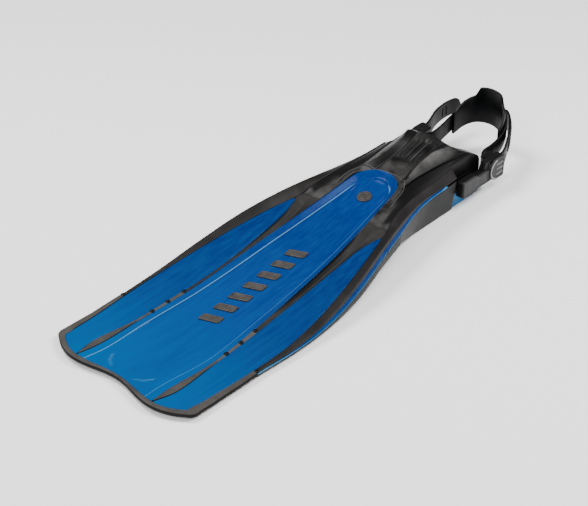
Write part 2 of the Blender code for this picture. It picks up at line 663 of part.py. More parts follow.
def frame_bm():
    """Front block, neck and rear cage of the right buckle, in one outline with a slot for the strap."""
    block = [(BLOCK_Y[0], BLOCK_Z[0] + 2), (BLOCK_Y[0] + 2, BLOCK_Z[0]), (BLOCK_Y[1], BLOCK_Z[0]),
             (NECK_Y[0] + 4, NECK_Z[0]), (CAGE_Y[0] - 4, NECK_Z[0]), (CAGE_Y[0], CAGE_Z[0]),
             (CAGE_Y[1] - 2, CAGE_Z[0]), (CAGE_Y[1], CAGE_Z[0] + CHEEK_T),
             (CAGE_Y[0] + CROSS_WALL_T, CAGE_Z[0] + CHEEK_T), (CAGE_Y[0] + CROSS_WALL_T, CAGE_Z[1] - CHEEK_T),
             (CAGE_Y[1], CAGE_Z[1] - CHEEK_T), (CAGE_Y[1] - 2, CAGE_Z[1]), (CAGE_Y[0], CAGE_Z[1]),
             (CAGE_Y[0] - 4, NECK_Z[1]), (NECK_Y[0] + 4, NECK_Z[1]), (BLOCK_Y[1], BLOCK_Z[1]),
             (BLOCK_Y[0] + 2, BLOCK_Z[1]), (BLOCK_Y[0], BLOCK_Z[1] - 2)]
    return loft_bm([[(x, y, z) for y, z in block] for x in FRAME_X])


def build_buckles(black, grey, steel):
    """Both buckles; returns their pieces, which swing with the strap."""
    pieces = []
    for label, side in SIDES:
        mirror = Matrix.Scale(side, 4, (1, 0, 0))

        def placed(bm):
            bmesh.ops.transform(bm, matrix=mirror, verts=bm.verts)
            bmesh.ops.recalc_face_normals(bm, faces=bm.faces)
            return bm

        frame = finish(f"buckle_frame_{label}", placed(frame_bm()), black)
        cheeks = [box_bm((47.0, FRAME_X[0] + 1), (152.0, 172.0), (z - CHEEK_T * 0.45, z + CHEEK_T * 0.45))
                  for z in (CAGE_Z[0] + CHEEK_T / 2, CAGE_Z[1] - CHEEK_T / 2)]
        combine(frame, [placed(bm) for bm in cheeks], "UNION")
        post_hole = ((50.0, POST_R + 0.5), (60.4, POST_R + 0.5), (60.4, POST_HEAD_R + 0.6),
                     (66.0, POST_HEAD_R + 0.6))
        holes = [stepped_hole_bm(POST_Y, POST_Z, post_hole),
                 cylinder_bm((PIN_X, PIN_Y, PIN_Z), PIN_R + GAP, 41.0, "Z", 16),
                 cylinder_bm((BAR_X, BAR_Y, PIN_Z), BAR_END_R + GAP, 41.0, "Z", 16)]
        combine(frame, [placed(bm) for bm in holes], "DIFFERENCE")
        pieces += [frame, build_cover(label, placed, grey), build_lever(label, side, placed, grey)]
        bar = [(0.0, 15.5), (BAR_END_R, 15.5), (BAR_END_R, 13.0 - GAP), (BAR_R, 13.0 - GAP),
               (BAR_R, -13.0 + GAP), (BAR_END_R, -13.0 + GAP), (BAR_END_R, -15.5), (0.0, -15.5)]
        pieces.append(turned(f"strap_crossbar_{label}", bar, 20, steel, (side * BAR_X, BAR_Y, PIN_Z)))
        pin = [(0.0, 15.5), (PIN_R, 15.5), (PIN_R, -15.5), (0.0, -15.5)]
        pieces.append(turned(f"lever_pin_{label}", pin, 16, steel, (side * PIN_X, PIN_Y, PIN_Z)))
        spring = [(56.0, 146.4), (58.0, 146.9), (59.4, 147.6)]
        low, high = PIN_Z - SPRING_W / 2, PIN_Z + SPRING_W / 2
        rings = [[(x, y, low), (x, y, high), (x - 0.25, y + 0.5, high), (x - 0.25, y + 0.5, low)]
                 for x, y in spring]
        pieces.append(loft(f"lever_spring_{label}", mirrored(rings, side), steel))
    return pieces


def build_cover(label, placed, grey):
    outline = [(BLOCK_Y[0] + 0.5, BLOCK_Z[0] + 2), (BLOCK_Y[0] + 2.5, BLOCK_Z[0]), (BLOCK_Y[1], BLOCK_Z[0]),
               (NECK_Y[0] + 4, NECK_Z[0]), (NECK_Y[1] - 1.6, NECK_Z[0]), (NECK_Y[1] - 1.6, NECK_Z[1]),
               (NECK_Y[0] + 4, NECK_Z[1]), (BLOCK_Y[1], BLOCK_Z[1]), (BLOCK_Y[0] + 2.5, BLOCK_Z[1]),
               (BLOCK_Y[0] + 0.5, BLOCK_Z[1] - 2)]
    centre_y, centre_z = 118.0, 26.8
    rings = []
    for x, shrink in ((COVER_X[0], 1.0), (COVER_X[1] - 0.8, 1.0), (COVER_X[1], 0.96)):
        rings.append([(x, centre_y + (y - centre_y) * shrink, centre_z + (z - centre_z) * shrink)
                      for y, z in outline])
    return finish(f"buckle_cover_{label}", placed(loft_bm(rings)), grey)


def lug_bm(middle):
    """The lever's hinge lug: a half round about the pin, drawn out to the lever plate."""
    section = [(PIN_X + LUG_R * math.cos(math.radians(a)), PIN_Y + LUG_R * math.sin(math.radians(a)))
               for a in range(90, 271, 20)]
    section += [(LEVER_X[0] + 1.0, PIN_Y - LUG_R + 0.8), (LEVER_X[0] + 1.0, PIN_Y + LUG_R + 1.5)]
    return loft_bm([[(x, y, z) for x, y in section] for z in (middle - 10.3, middle + 10.3)])


def build_lever(label, side, placed, grey):
    """The D-shaped release lever, with its lug on the hinge pin."""
    middle, half = sum(LEVER_Z) / 2, (LEVER_Z[1] - LEVER_Z[0]) / 2
    outline = []
    for step in range(13):
        angle = math.radians(90 + 180 * step / 12)
        outline.append((148.0 + half + half * math.cos(angle), middle + half * math.sin(angle)))
    outline += [(LEVER_REAR_Y, LEVER_Z[0]), (LEVER_REAR_Y, LEVER_Z[1])]
    rings = []
    for x, shrink in ((LEVER_X[0], 1.0), (LEVER_X[1] - 0.8, 1.0), (LEVER_X[1], 0.95)):
        rings.append([(x, 164.0 + (y - 164.0) * shrink, middle + (z - middle) * shrink) for y, z in outline])
    lever = finish(f"lever_{label}", placed(loft_bm(rings)), grey)
    combine(lever, [placed(lug_bm(middle))], "UNION")
    combine(lever, [placed(cylinder_bm((PIN_X, PIN_Y, middle), PIN_R + 0.3, 44.0, "Z", 16))], "DIFFERENCE")
    move_origin(lever, (side * PIN_X, PIN_Y, middle))
    return lever


def move_origin(obj, point):
    """Put an object's origin at a point in millimetres without moving its surface."""
    target = Vector(point) * MM
    obj.data.transform(Matrix.Translation(obj.location - target))
    obj.location = target


# ---------------------------------------------------------------- strap

def ribbon_path(points, per_span):
    """A smooth path through points, several steps to each span."""
    knots = [0.0]
    for a, b in zip(points, points[1:]):
        knots.append(knots[-1] + (Vector(b) - Vector(a)).length)
    axes = [smooth_curve([(k, p[axis]) for k, p in zip(knots, points)]) for axis in range(3)]
    path = []
    for i in range(len(knots) - 1):
        for step in range(per_span):
            t = knots[i] + (knots[i + 1] - knots[i]) * step / per_span
            path.append(Vector([axis(t) for axis in axes]))
    path.append(Vector(points[-1]))
    return path


def ribbon_rings(path, thickness, low, high, inset=0.0):
    """Chamfered strap sections along a path; low and high are heights below and above it at each step."""
    rings = []
    for i, point in enumerate(path):
        ahead = path[min(i + 1, len(path) - 1)] - path[max(i - 1, 0)]
        side = Vector((ahead.y, -ahead.x, 0.0)).normalized()
        centre = point + side * inset
        t, c = thickness / 2, STRAP_CHAMFER
        a, b = low(i), high(i)
        section = [(-t, a + c), (-t + c, a), (t - c, a), (t, a + c), (t, b - c), (t - c, b), (-t + c, b),
                   (-t, b - c)]
        rings.append([tuple(centre + side * s + Vector((0, 0, h))) for s, h in section])
    return rings


# One side's strap line: from the crossbar's front round to the back of the heel.
INNER_RUN = ((54.0, 155.7, 30.5), (48.0, 158.0, 30.8), (42.0, 163.5, 31.8), (39.6, 172.0, 33.0),
             (40.5, 190.0, 35.5), (40.0, 208.0, 41.0), (35.5, 224.0, 49.0), (26.0, 235.5, 57.0),
             (13.0, 241.5, 61.0), (0.0, 243.0, 62.0))
BAR_WRAP = ((59.3, 170.0, 31.0), (59.3, 161.0, 30.5), (58.0, 157.3, 30.5))
TAIL_RIGHT = ((21.0, 258.0, 53.0), (33.0, 247.5, 50.0), (46.0, 228.0, 44.0), (55.5, 205.0, 38.0),
              (59.2, 186.0, 33.0))
TAIL_LEFT = ((64.0, 256.0, 41.0), (70.0, 234.0, 40.0), (68.5, 208.0, 37.5), (61.5, 186.0, 33.0))


def strap_path():
    right = list(TAIL_RIGHT) + list(BAR_WRAP) + list(INNER_RUN)
    left = list(TAIL_LEFT) + list(BAR_WRAP) + list(INNER_RUN)
    mirror = [(-x, y, z) for x, y, z in reversed(left[:-1])]
    return ribbon_path(right + mirror, 3)


def build_strap(black):
    path = strap_path()
    end = len(path) - 1

    def half_width(i):
        """The strap's tails end in a rounded tongue."""
        from_end = min(i, end - i)
        return STRAP_W / 2 * (0.62, 0.88, 1.0)[min(from_end, 2)]

    strap = loft("heel_strap", ribbon_rings(path, STRAP_T, lambda i: -half_width(i), half_width), black)
    line = [p for p in INNER_RUN if p[1] >= PAD_START_Y]
    curve = ribbon_path(line + [(-x, y, z) for x, y, z in reversed(line[:-1])], 3)
    steps = len(curve) - 1

    def bottom(i):
        return PAD_SAG + PAD_ARCH * math.sin(math.pi * i / steps) - curve[i].z

    def top(i):
        """A crowned upper edge with a finger tab standing at its middle."""
        tab = max(0.0, 1.0 - (abs(i - steps / 2) / (0.2 * steps)) ** 4)
        return PAD_TOP + PAD_CROWN * math.sin(math.pi * i / steps) ** 0.8 + PAD_TAB * tab - curve[i].z

    pad = loft("heel_pad", ribbon_rings(curve, PAD_T, bottom, top, inset=-(STRAP_T + PAD_T) / 2 - GAP), black)
    return [strap, pad]


def hang(pieces, name, point):
    """Parent pieces to an empty at a joint's axis, leaving them in place."""
    pivot = bpy.data.objects.new(name, None)
    pivot.location = Vector(point) * MM
    bpy.context.collection.objects.link(pivot)
    for piece in pieces:
        piece.parent = pivot
        piece.location -= pivot.location


def main():
    for obj in list(bpy.data.objects):
        bpy.data.objects.remove(obj, do_unlink=True)
    blue = material("blade_blue", (0.0, 0.11, 0.42), 0.3)
    black = material("elastomer_black", (0.02, 0.02, 0.022), 0.5)
    grey = material("moulded_grey", (0.13, 0.13, 0.14), 0.45)
    steel = material("stainless", (0.6, 0.6, 0.62), 0.3, 1.0)
    build_blade(blue, black, grey)
    build_pocket(black)
    build_sole(blue, black)
    build_posts(steel, grey)
    swinging = build_buckles(black, grey, steel) + build_strap(black)
    hang(swinging, "strap_swing_axis", (0.0, POST_Y, POST_Z))


main()
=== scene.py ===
"""Looks of the open-heel swim fin: dense moulded surfaces, rubber, strap teeth, buckles, light and camera.

Lengths are in millimetres until a mesh is made (MM). +Y points to the heel, -Y to the blade tip, +Z up.
Paired pieces are made on the +X side and mirrored by SIDES.
"""
import math

import bmesh
import bpy
from mathutils import Matrix, Vector


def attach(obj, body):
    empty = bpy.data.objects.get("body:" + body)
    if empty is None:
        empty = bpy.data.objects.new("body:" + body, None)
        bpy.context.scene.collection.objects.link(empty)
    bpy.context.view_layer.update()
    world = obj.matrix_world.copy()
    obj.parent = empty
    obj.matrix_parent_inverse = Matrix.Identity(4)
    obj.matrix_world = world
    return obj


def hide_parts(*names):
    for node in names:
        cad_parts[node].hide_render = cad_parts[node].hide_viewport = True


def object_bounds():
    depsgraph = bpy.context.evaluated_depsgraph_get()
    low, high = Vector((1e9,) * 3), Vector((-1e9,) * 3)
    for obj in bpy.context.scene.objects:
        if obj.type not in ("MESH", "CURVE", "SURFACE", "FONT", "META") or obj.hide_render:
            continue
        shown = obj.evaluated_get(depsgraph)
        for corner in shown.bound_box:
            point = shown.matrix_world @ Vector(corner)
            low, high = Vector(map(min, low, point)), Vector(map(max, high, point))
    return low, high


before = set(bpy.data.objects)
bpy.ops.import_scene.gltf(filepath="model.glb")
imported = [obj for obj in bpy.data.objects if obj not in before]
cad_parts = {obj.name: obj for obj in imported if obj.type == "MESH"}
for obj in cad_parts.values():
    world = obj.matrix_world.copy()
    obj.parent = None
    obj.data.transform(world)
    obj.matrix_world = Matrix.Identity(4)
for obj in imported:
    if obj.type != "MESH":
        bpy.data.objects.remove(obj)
cad_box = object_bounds()

MM = 0.001
SEAM = 0.12                    # hairline between neighbouring moulded pieces
SIDES = (("right", 1), ("left", -1))

BLADE_LOW_Y, BLADE_LOW_Z, BLADE_RUN, BLADE_RISE, BLADE_POWER = -345.0, 4.5, 334.0, 44.2, 1.64
TIP_RUN, TIP_LIFT = 93.0, 4.4
PANEL_T, WING_T = 3.0, 2.6
PANEL_RECESS = 1.5
BORDER_W = 8.0                 # the centre panel's raised border band
TIP_ROWS_Y = -405.0            # ahead of this line the blade's rows of points follow the tip's edge
CRESCENT_X, CRESCENT_R, CRESCENT_Y = 34.0, 28.0, -398.0
TROUGH = 6.0                   # the channel's depth
SHOULDER_IN = 3.6              # the pocket's shoulder lies this far inside the rail's outer side
UNDER_ROUND = 1.6              # undersides round off this much more than tops
CORE_IN = 3.5                  # depth of the stripe and its lips inside the rail's outer side
STUD_R, STUD_FLAT = 2.9, 0.45
WING_END_Y, POCKET_FRONT_Y, RIB_START_Y, RIB_END_Y = -76.0, -48.0, -432.5, -275.0
RAIL_FRONT_Y, STRIPE_END_Y, SIDE_WALL_END_Y = -328.0, 62.0, 83.0
APEX_Y, APEX_ROUND = 19.0, 33.0
ROUND_Y = APEX_Y - APEX_ROUND  # the panel's outline turns into a half ellipse here
POST_Y, POST_Z = 104.0, 27.0
NOSE_Y = POCKET_FRONT_Y - 16.0  # the pocket's rubber runs out over the blade from here


def smooth_curve(points):
    """A smooth function through (position, value) points, level beyond the ends."""
    xs = [p[0] for p in points]
    ys = [p[1] for p in points]
    last = len(xs) - 1
    slopes = []
    for i in range(last + 1):
        a, b = max(i - 1, 0), min(i + 1, last)
        slopes.append((ys[b] - ys[a]) / (xs[b] - xs[a]))

    def value(x):
        if x <= xs[0]:
            return ys[0]
        if x >= xs[-1]:
            return ys[-1]
        i = max(k for k in range(last) if xs[k] <= x)
        span = xs[i + 1] - xs[i]
        t = (x - xs[i]) / span
        return ((2 * t ** 3 - 3 * t ** 2 + 1) * ys[i] + (t ** 3 - 2 * t ** 2 + t) * span * slopes[i]
                + (3 * t ** 2 - 2 * t ** 3) * ys[i + 1] + (t ** 3 - t ** 2) * span * slopes[i + 1])

    return value


# Half widths along the blade (y, x).
panel_edge_x = smooth_curve(((-434, 58.3), (-405, 55.6), (-345, 57.6), (-302, 55.4), (-274, 53.2),
                             (-217, 50.2), (-159, 47.2), (-100, 42.2), (-41, 36.2), (-11, 33.4)))
wing_inner_x = smooth_curve(((-434, 59.3), (-405, 65.2), (-345, 60.4), (-285, 58.6), (-241, 57.0),
                             (-196, 56.6), (-150, 57.5), (-105, 59.6), (-76, 66.0)))
rail_inner_x = smooth_curve(((-434, 95.0), (-380, 98.0), (-331, 101.2), (-275, 102.5), (-220, 98.3),
                             (-167, 90.1), (-113, 78.7), (-59, 64.9), (-31, 57.5)))
rail_outer_x = smooth_curve(((-416, 103.4), (-380, 105.6), (-328, 107.5), (-263, 110.5), (-201, 107.3),
                             (-141, 98.4), (-81, 84.8), (-17, 70.2), (19, 64.8), (62, 62.5), (83, 61.5)))
band_inner_x = smooth_curve(((-80, 70.2), (-59, 64.9), (-40, 60.4), (-15, 57.0), (15, 54.6), (50, 53.2),
                             (83, 52.0)))
# Heights above the crease line (y, lift).
edge_lift = smooth_curve(((-440, 0.3), (-345, 1.0), (-275, 1.6), (-190, 4.0), (-100, 4.8), (-40, 5.6),
                          (-10, 6.0)))
wing_lift = smooth_curve(((-440, 0.0), (-330, 1.0), (-200, 0.6), (-105, 3.0), (-76, 2.6)))
rail_lift = smooth_curve(((-440, 0.0), (-380, 2.0), (-331, 3.5), (-275, 3.0), (-220, 3.8), (-160, 5.3),
                          (-110, 5.2), (-60, 2.3), (-30, 0.0)))
# Rail heights (y, z).
rail_top_z = smooth_curve(((-328, 8.0), (-263, 10.7), (-201, 21.5), (-141, 35.3), (-81, 46.3), (-17, 51.2),
                           (62, 50.4)))
stripe_low_z = smooth_curve(((-328, 6.2), (-265, 6.0), (-231, 6.6), (-193, 10.5), (-152, 18.0), (-105, 27.0),
                             (-52, 35.0), (-2, 43.0), (62, 44.5)))
rail_low_z = smooth_curve(((-328, 1.0), (-228, 0.8), (-190, 2.0), (-148, 5.2), (-98, 13.4), (-48, 16.8)))
# Foot pocket's corner lines (y, x) and (y, z).
top_z = smooth_curve(((-48, 44), (-11, 49.5), (20, 54), (31, 55.5), (45, 60.5), (60, 65), (80, 71), (95, 74),
                      (108, 76)))
valley_x = smooth_curve(((-48, 24), (20, 22), (60, 18.5), (95, 20), (108, 24)))
valley_z = smooth_curve(((-48, 44.5), (-11, 51), (20, 55), (31, 56.5), (60, 63), (80, 68.5), (108, 74)))
crest_x = smooth_curve(((-48, 38), (-11, 34.6), (20, 30), (45, 26.3), (62, 25.6), (80, 26.5), (104, 33.5),
                        (150, 40)))
crest_z = smooth_curve(((-48, 47), (-11, 56), (20, 64), (45, 70), (62, 73), (80, 75.6), (104, 76), (150, 70)))
groove_x = smooth_curve(((-48, 52), (-30, 44), (-11, 37.5), (20, 36.4), (60, 39.5), (82, 41.5), (100, 43.5),
                         (150, 44)))
groove_z = smooth_curve(((-48, 45), (-30, 49), (-11, 55), (20, 60), (60, 62.5), (100, 62.8), (150, 60)))
side_low_x = smooth_curve(((-48, 73), (-30, 66), (-11, 60.5), (5, 57), (83, 56)))
side_low_z = smooth_curve(((-48, 17), (-30, 11), (-11, 4), (5, 1.2), (83, 1.0)))
sole_edge_x = smooth_curve(((-48, 50), (-11, 54), (5, 55), (83, 55)))
sole_edge_z = smooth_curve(((-48, 13), (-30, 5), (-12, 0.5), (-4, 0.0), (83, 0.0)))


def crease_z(y):
    """Height of the blade along its creases."""
    t = (y - BLADE_LOW_Y) / BLADE_RUN
    if t > 0:
        return BLADE_LOW_Z + BLADE_RISE * t ** BLADE_POWER
    return BLADE_LOW_Z + TIP_LIFT * ((BLADE_LOW_Y - y) / TIP_RUN) ** 2


def panel_z(y):
    """Height along the centre panel's edge."""
    return crease_z(y) + edge_lift(y)


def wing_z(y):
    """Height along the side panel's inner edge."""
    return crease_z(y) + wing_lift(y)


def rail_z(y):
    """Height along the rail's inner edge."""
    return crease_z(y) + rail_lift(y)


def tip_line(x, middle, wave, drop, half):
    """The wavy tip edge: a shallow notch at the middle, two lobes, then a drop to the corner at half."""
    lobe = 58.0
    if abs(x) <= lobe:
        return middle - wave * math.sin(math.pi * x / (2 * lobe)) ** 2
    return middle - wave + drop * ((abs(x) - lobe) / (half - lobe)) ** 2


def tip_inner_y(x):
    """Where the panels end at the tip."""
    return tip_line(x, -428.0, 6.5, 15.0, 95.0)


def tip_outer_y(x):
    """The trim's outer edge at the tip."""
    return tip_line(x, -432.0, 9.0, 18.0, 103.4)


# ---------------------------------------------------------------- small maths

def spread(low, high, count):
    """Evenly spread values from low to high."""
    return [low + (high - low) * i / (count - 1) for i in range(count)]


def stations(start, end, step):
    """Evenly spread values whose distance is near step."""
    return spread(start, end, max(int(round(abs(end - start) / step)), 1) + 1)


def clamp(t, low=0.0):
    return min(max(t, low), 1.0)


def smooth_step(t):
    t = clamp(t)
    return t * t * (3 - 2 * t)


def bell(t):
    """A bump of height 1 that ends at -1 and 1."""
    return (1 - t * t) ** 2 if abs(t) < 1 else 0.0


def edge_drop(depth, radius):
    """How far a surface falls where it rounds over, at a given distance inside its edge."""
    if depth >= radius:
        return 0.0
    reach = radius - max(depth, 0.0)
    return radius - math.sqrt(radius * radius - reach * reach)


# ---------------------------------------------------------------- mesh helpers

def paint_line(mesh, line):
    """Write a pale line weight, from a function of millimetres, on every point: painted highlight and painted
    sheen, and the rib's paler neck.
    """
    attribute = mesh.attributes.new("line", "FLOAT", "POINT")
    for item, point in zip(attribute.data, mesh.vertices):
        item.value = line(*(point.co / MM))


def shade(mesh, degrees):
    """Smooth shading with sharp edges above an angle."""
    mesh.shade_smooth()
    mesh.set_sharp_from_angle(angle=math.radians(degrees))


def make_object(name, bm, mat, line=None):
    """A closed bmesh in millimetres as a smooth-shaded object, with an optional pale line weight, mostly
    painted highlight and sheen.
    """
    bmesh.ops.recalc_face_normals(bm, faces=bm.faces)
    if bm.calc_volume(signed=True) < 0:
        bmesh.ops.reverse_faces(bm, faces=bm.faces)
    bmesh.ops.transform(bm, matrix=Matrix.Scale(MM, 4), verts=bm.verts)
    mesh = bpy.data.meshes.new(name)
    bm.to_mesh(mesh)
    bm.free()
    mesh.materials.append(mat)
    shade(mesh, 35.0)
    for polygon in mesh.polygons:
        if len(polygon.vertices) > 8:   # a flat end cap
            polygon.use_smooth = False
    if line:
        paint_line(mesh, line)
    obj = bpy.data.objects.new(name, mesh)
    bpy.context.scene.collection.objects.link(obj)
    return obj


def settle(obj, body, slot, *nodes):
    """Ride on a CAD body and stand for CAD nodes; the slot argument is not used."""
    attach(obj, body)
    if nodes:
        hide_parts(*nodes)
    return obj


def loft_bm(rings):
    """A closed bmesh through rings of equal point counts, with both ends capped."""
    bm = bmesh.new()
    rows = [[bm.verts.new(p) for p in ring] for ring in rings]
    count = len(rows[0])
    for row, following in zip(rows, rows[1:]):
        for i in range(count):
            j = (i + 1) % count
            bm.faces.new((row[i], row[j], following[j], following[i]))
    bm.faces.new(rows[0])
    bm.faces.new(list(reversed(rows[-1])))
    bm.normal_update()
    return bm


def mirror_bm(bm, side):
    """The same solid at its side: 1 leaves it on +X, -1 mirrors it to -X."""
    bmesh.ops.transform(bm, matrix=Matrix.Scale(side, 4, (1, 0, 0)), verts=bm.verts)
    return bm


def box_bm(x, y, z):
    """A box between two corners, given as (low, high) pairs."""
    bm = bmesh.new()
    size = Matrix.Diagonal((x[1] - x[0], y[1] - y[0], z[1] - z[0], 1.0))
    centre = Matrix.Translation(((x[0] + x[1]) / 2, (y[0] + y[1]) / 2, (z[0] + z[1]) / 2))
    bmesh.ops.create_cube(bm, size=1.0, matrix=centre @ size)
    return bm


def join_bm(parts):
    """One bmesh holding several solids."""
    whole = bmesh.new()
    for bm in parts:
        mesh = bpy.data.meshes.new("join")
        bm.to_mesh(mesh)
        bm.free()
        whole.from_mesh(mesh)
        bpy.data.meshes.remove(mesh)
    whole.normal_update()
    return whole


def arc(start, middle, end, steps):
    """Points of a curve that leaves start and reaches end heading for middle."""
    shares = spread(0.0, 1.0, steps + 1)
    return [start * (1 - t) ** 2 + middle * 2 * t * (1 - t) + end * t * t for t in shares]


def corner_arc(before, here, after, steps):
    """The arc that takes the place of an (a, b, radius) corner."""
    middle = Vector(here[:2])
    back, ahead = Vector(before[:2]) - middle, Vector(after[:2]) - middle
    start = middle + back.normalized() * min(here[2], back.length * 0.45)
    end = middle + ahead.normalized() * min(here[2], ahead.length * 0.45)
    return arc(start, middle, end, steps)


def rounded(corners, steps):
    """A closed outline whose (a, b, radius) corners are drawn as arcs of steps + 1 points."""
    outline = []
    for before, here, after in zip(corners[-1:] + corners[:-1], corners, corners[1:] + corners[:1]):
        outline += corner_arc(before, here, after, steps)
    return outline


def open_rounded(corners):
    """An open line whose inner (a, b, radius) corners are drawn as arcs of five points."""
    line = [corners[0][:2]]
    for before, here, after in zip(corners, corners[1:], corners[2:]):
        line += [tuple(p) for p in corner_arc(before, here, after, 4)]
    return line + [corners[-1][:2]]


def rectangle(a, b, radius):
    """Corners (a, b, radius) of a rectangle between two (low, high) pairs."""
    return [(a[0], b[0], radius), (a[1], b[0], radius), (a[1], b[1], radius), (a[0], b[1], radius)]


def section(corners, y):
    """A rounded outline in x and z, placed at y."""
    return [(p.x, y, p.y) for p in rounded(corners, 4)]


def turned_bm(profile, segments, place):
    """A turned solid from a closed (radius, height) profile that starts and ends on the axis."""
    bm = bmesh.new()
    rows = []
    for k in range(segments):
        angle = 2 * math.pi * k / segments
        rows.append([bm.verts.new((r * math.cos(angle), r * math.sin(angle), h)) for r, h in profile[1:-1]])
    first, last = (bm.verts.new((0.0, 0.0, h)) for _, h in (profile[0], profile[-1]))
    for row, following in zip(rows, rows[1:] + rows[:1]):
        bm.faces.new((first, row[0], following[0]))
        for a, b, c, d in zip(row, row[1:], following[1:], following):
            bm.faces.new((a, b, c, d))
        bm.faces.new((row[-1], last, following[-1]))
    bmesh.ops.transform(bm, matrix=place, verts=bm.verts)
    bm.normal_update()
    return bm


def solid_from_top(points, faces, under):
    """A closed bmesh from an upper surface: its copy at under(x, y, z) below and a wall round the edge."""
    bm = bmesh.new()
    upper = [bm.verts.new(p) for p in points]
    lower = [bm.verts.new((x, y, under(x, y, z))) for x, y, z in points]
    for face in faces:
        bm.faces.new([upper[i] for i in face])
    bm.verts.index_update()
    rim = [edge for edge in bm.edges if len(edge.link_faces) == 1]
    pairs = [(edge.verts[0].index, edge.verts[1].index) for edge in rim]
    for face in faces:
        bm.faces.new([lower[i] for i in reversed(face)])
    for a, b in pairs:
        bm.faces.new((upper[a], upper[b], lower[b], lower[a]))
    bm.normal_update()
    return bm


def grid(rows, columns, place):
    """Points and faces of a sheet; place(i, j) gives a point."""
    points = [place(i, j) for i in range(rows) for j in range(columns)]
    faces = [(i * columns + j, i * columns + j + 1, (i + 1) * columns + j + 1, (i + 1) * columns + j)
             for i in range(rows - 1) for j in range(columns - 1)]
    return points, faces


# ---------------------------------------------------------------- materials

class Look:
    """A Principled material, with short calls for the nodes that the looks share."""

    def __init__(self, name, specular=0.5):
        self.material = bpy.data.materials.new(name)
        self.material.use_nodes = True
        self.nodes = self.material.node_tree.nodes
        self.shader = self.nodes["Principled BSDF"]
        self.normal = None
        self.set("Specular IOR Level", specular)

    def fill(self, socket, source):
        """Link a socket to another node's output, or set its value."""
        if isinstance(source, bpy.types.NodeSocket):
            self.material.node_tree.links.new(source, socket)
        else:
            socket.default_value = source

    def set(self, name, source):
        """Fill one of the shader's own sockets."""
        self.fill(self.shader.inputs[name], source)

    def add(self, kind, inputs):
        """A new node with its inputs filled, by name or number."""
        node = self.nodes.new(kind)
        for key, source in inputs.items():
            self.fill(node.inputs[key], source)
        return node

    def place(self):
        """Position in the object's own metres."""
        return self.nodes.new("ShaderNodeTexCoord").outputs["Object"]

    def axis(self, vector, name):
        """One coordinate of a vector."""
        return self.add("ShaderNodeSeparateXYZ", {"Vector": vector}).outputs[name]

    def noise(self, scale, detail, stretch=None, roughness=0.5):
        """A noise texture in the object's own metres, optionally stretched."""
        place = self.place()
        if stretch:
            place = self.add("ShaderNodeMapping", {"Vector": place, "Scale": stretch}).outputs["Vector"]
        inputs = {"Vector": place, "Scale": scale, "Detail": detail, "Roughness": roughness}
        return self.add("ShaderNodeTexNoise", inputs).outputs["Fac"]

    def ramp(self, factor, stops):
        """A colour ramp; stops are (position, colour)."""
        node = self.add("ShaderNodeValToRGB", {"Fac": factor})
        elements = node.color_ramp.elements
        while len(elements) < len(stops):
            elements.new(0.5)
        for element, (position, colour) in zip(elements, stops):
            element.position = position
            element.color = (*colour, 1.0)
        return node.outputs["Color"]

    def span(self, value, low, high, start=0.0, end=1.0):
        """A value between start and end as one between low and high."""
        inputs = {"Value": value, "From Min": start, "From Max": end, "To Min": low, "To Max": high}
        return self.add("ShaderNodeMapRange", inputs).outputs["Result"]

    def calculate(self, operation, first, second):
        """A calculation whose result stays between 0 and 1."""
        node = self.add("ShaderNodeMath", {0: first, 1: second})
        node.operation = operation
        node.use_clamp = True
        return node.outputs["Value"]

    def mix(self, factor, first, second):
        """A blend of two colours; second is given as numbers."""
        node = self.nodes.new("ShaderNodeMix")
        node.data_type = "RGBA"
        for key, source in ((0, factor), (6, first), (7, (*second, 1.0))):
            self.fill(node.inputs[key], source)
        return node.outputs[2]

    def pale_and_highlight_weight(self):
        """The pale line weight painted on the mesh: painted highlight and painted sheen, and the rib's paler
        neck.
        """
        node = self.nodes.new("ShaderNodeAttribute")
        node.attribute_name = "line"
        return node.outputs["Fac"]

    def bump(self, height, strength, distance):
        """A bump over those made before it."""
        inputs = {"Height": height, "Strength": strength, "Distance": distance}
        if self.normal:
            inputs["Normal"] = self.normal
        self.normal = self.add("ShaderNodeBump", inputs).outputs["Normal"]
        self.set("Normal", self.normal)


def rubber(name, dark, light, specular, roughness=(0.42, 0.6), lit_top=None):
    """Moulded elastomer: patches, grain, a soft sheen, pale places where the line weight is painted (painted
    sheen and highlight) and maybe painted light: tops that face up made lighter, with a mottle.
    """
    look = Look(name, specular)
    patches = look.noise(34.0, 5.0, roughness=0.6)
    colour = look.ramp(patches, ((0.35, dark), (0.72, light)))
    # painted light: faces that turn up get a lighter colour, with a mottle
    if lit_top:
        normal = look.nodes.new("ShaderNodeNewGeometry").outputs["Normal"]
        flat = look.span(look.axis(normal, "Z"), 0.0, 1.0, 0.66, 0.98)
        lit_mottle = look.span(look.noise(55.0, 6.0, roughness=0.7), 0.1, 1.5)
        colour = look.mix(look.calculate("MULTIPLY", flat, lit_mottle), colour, lit_top)
    # pale where the line weight is painted: painted sheen on the pocket, and the rib's paler neck
    uneven = look.calculate("MULTIPLY", look.pale_and_highlight_weight(), look.span(patches, -2.4, 4.4))
    look.set("Base Color", look.mix(uneven, colour, (0.052, 0.050, 0.048)))
    look.set("Roughness", look.span(patches, roughness[1], roughness[0]))
    look.bump(look.noise(60.0, 3.0), 0.25, 0.0006)
    look.bump(look.noise(900.0, 2.0), 0.6, 0.00006)
    return look.material


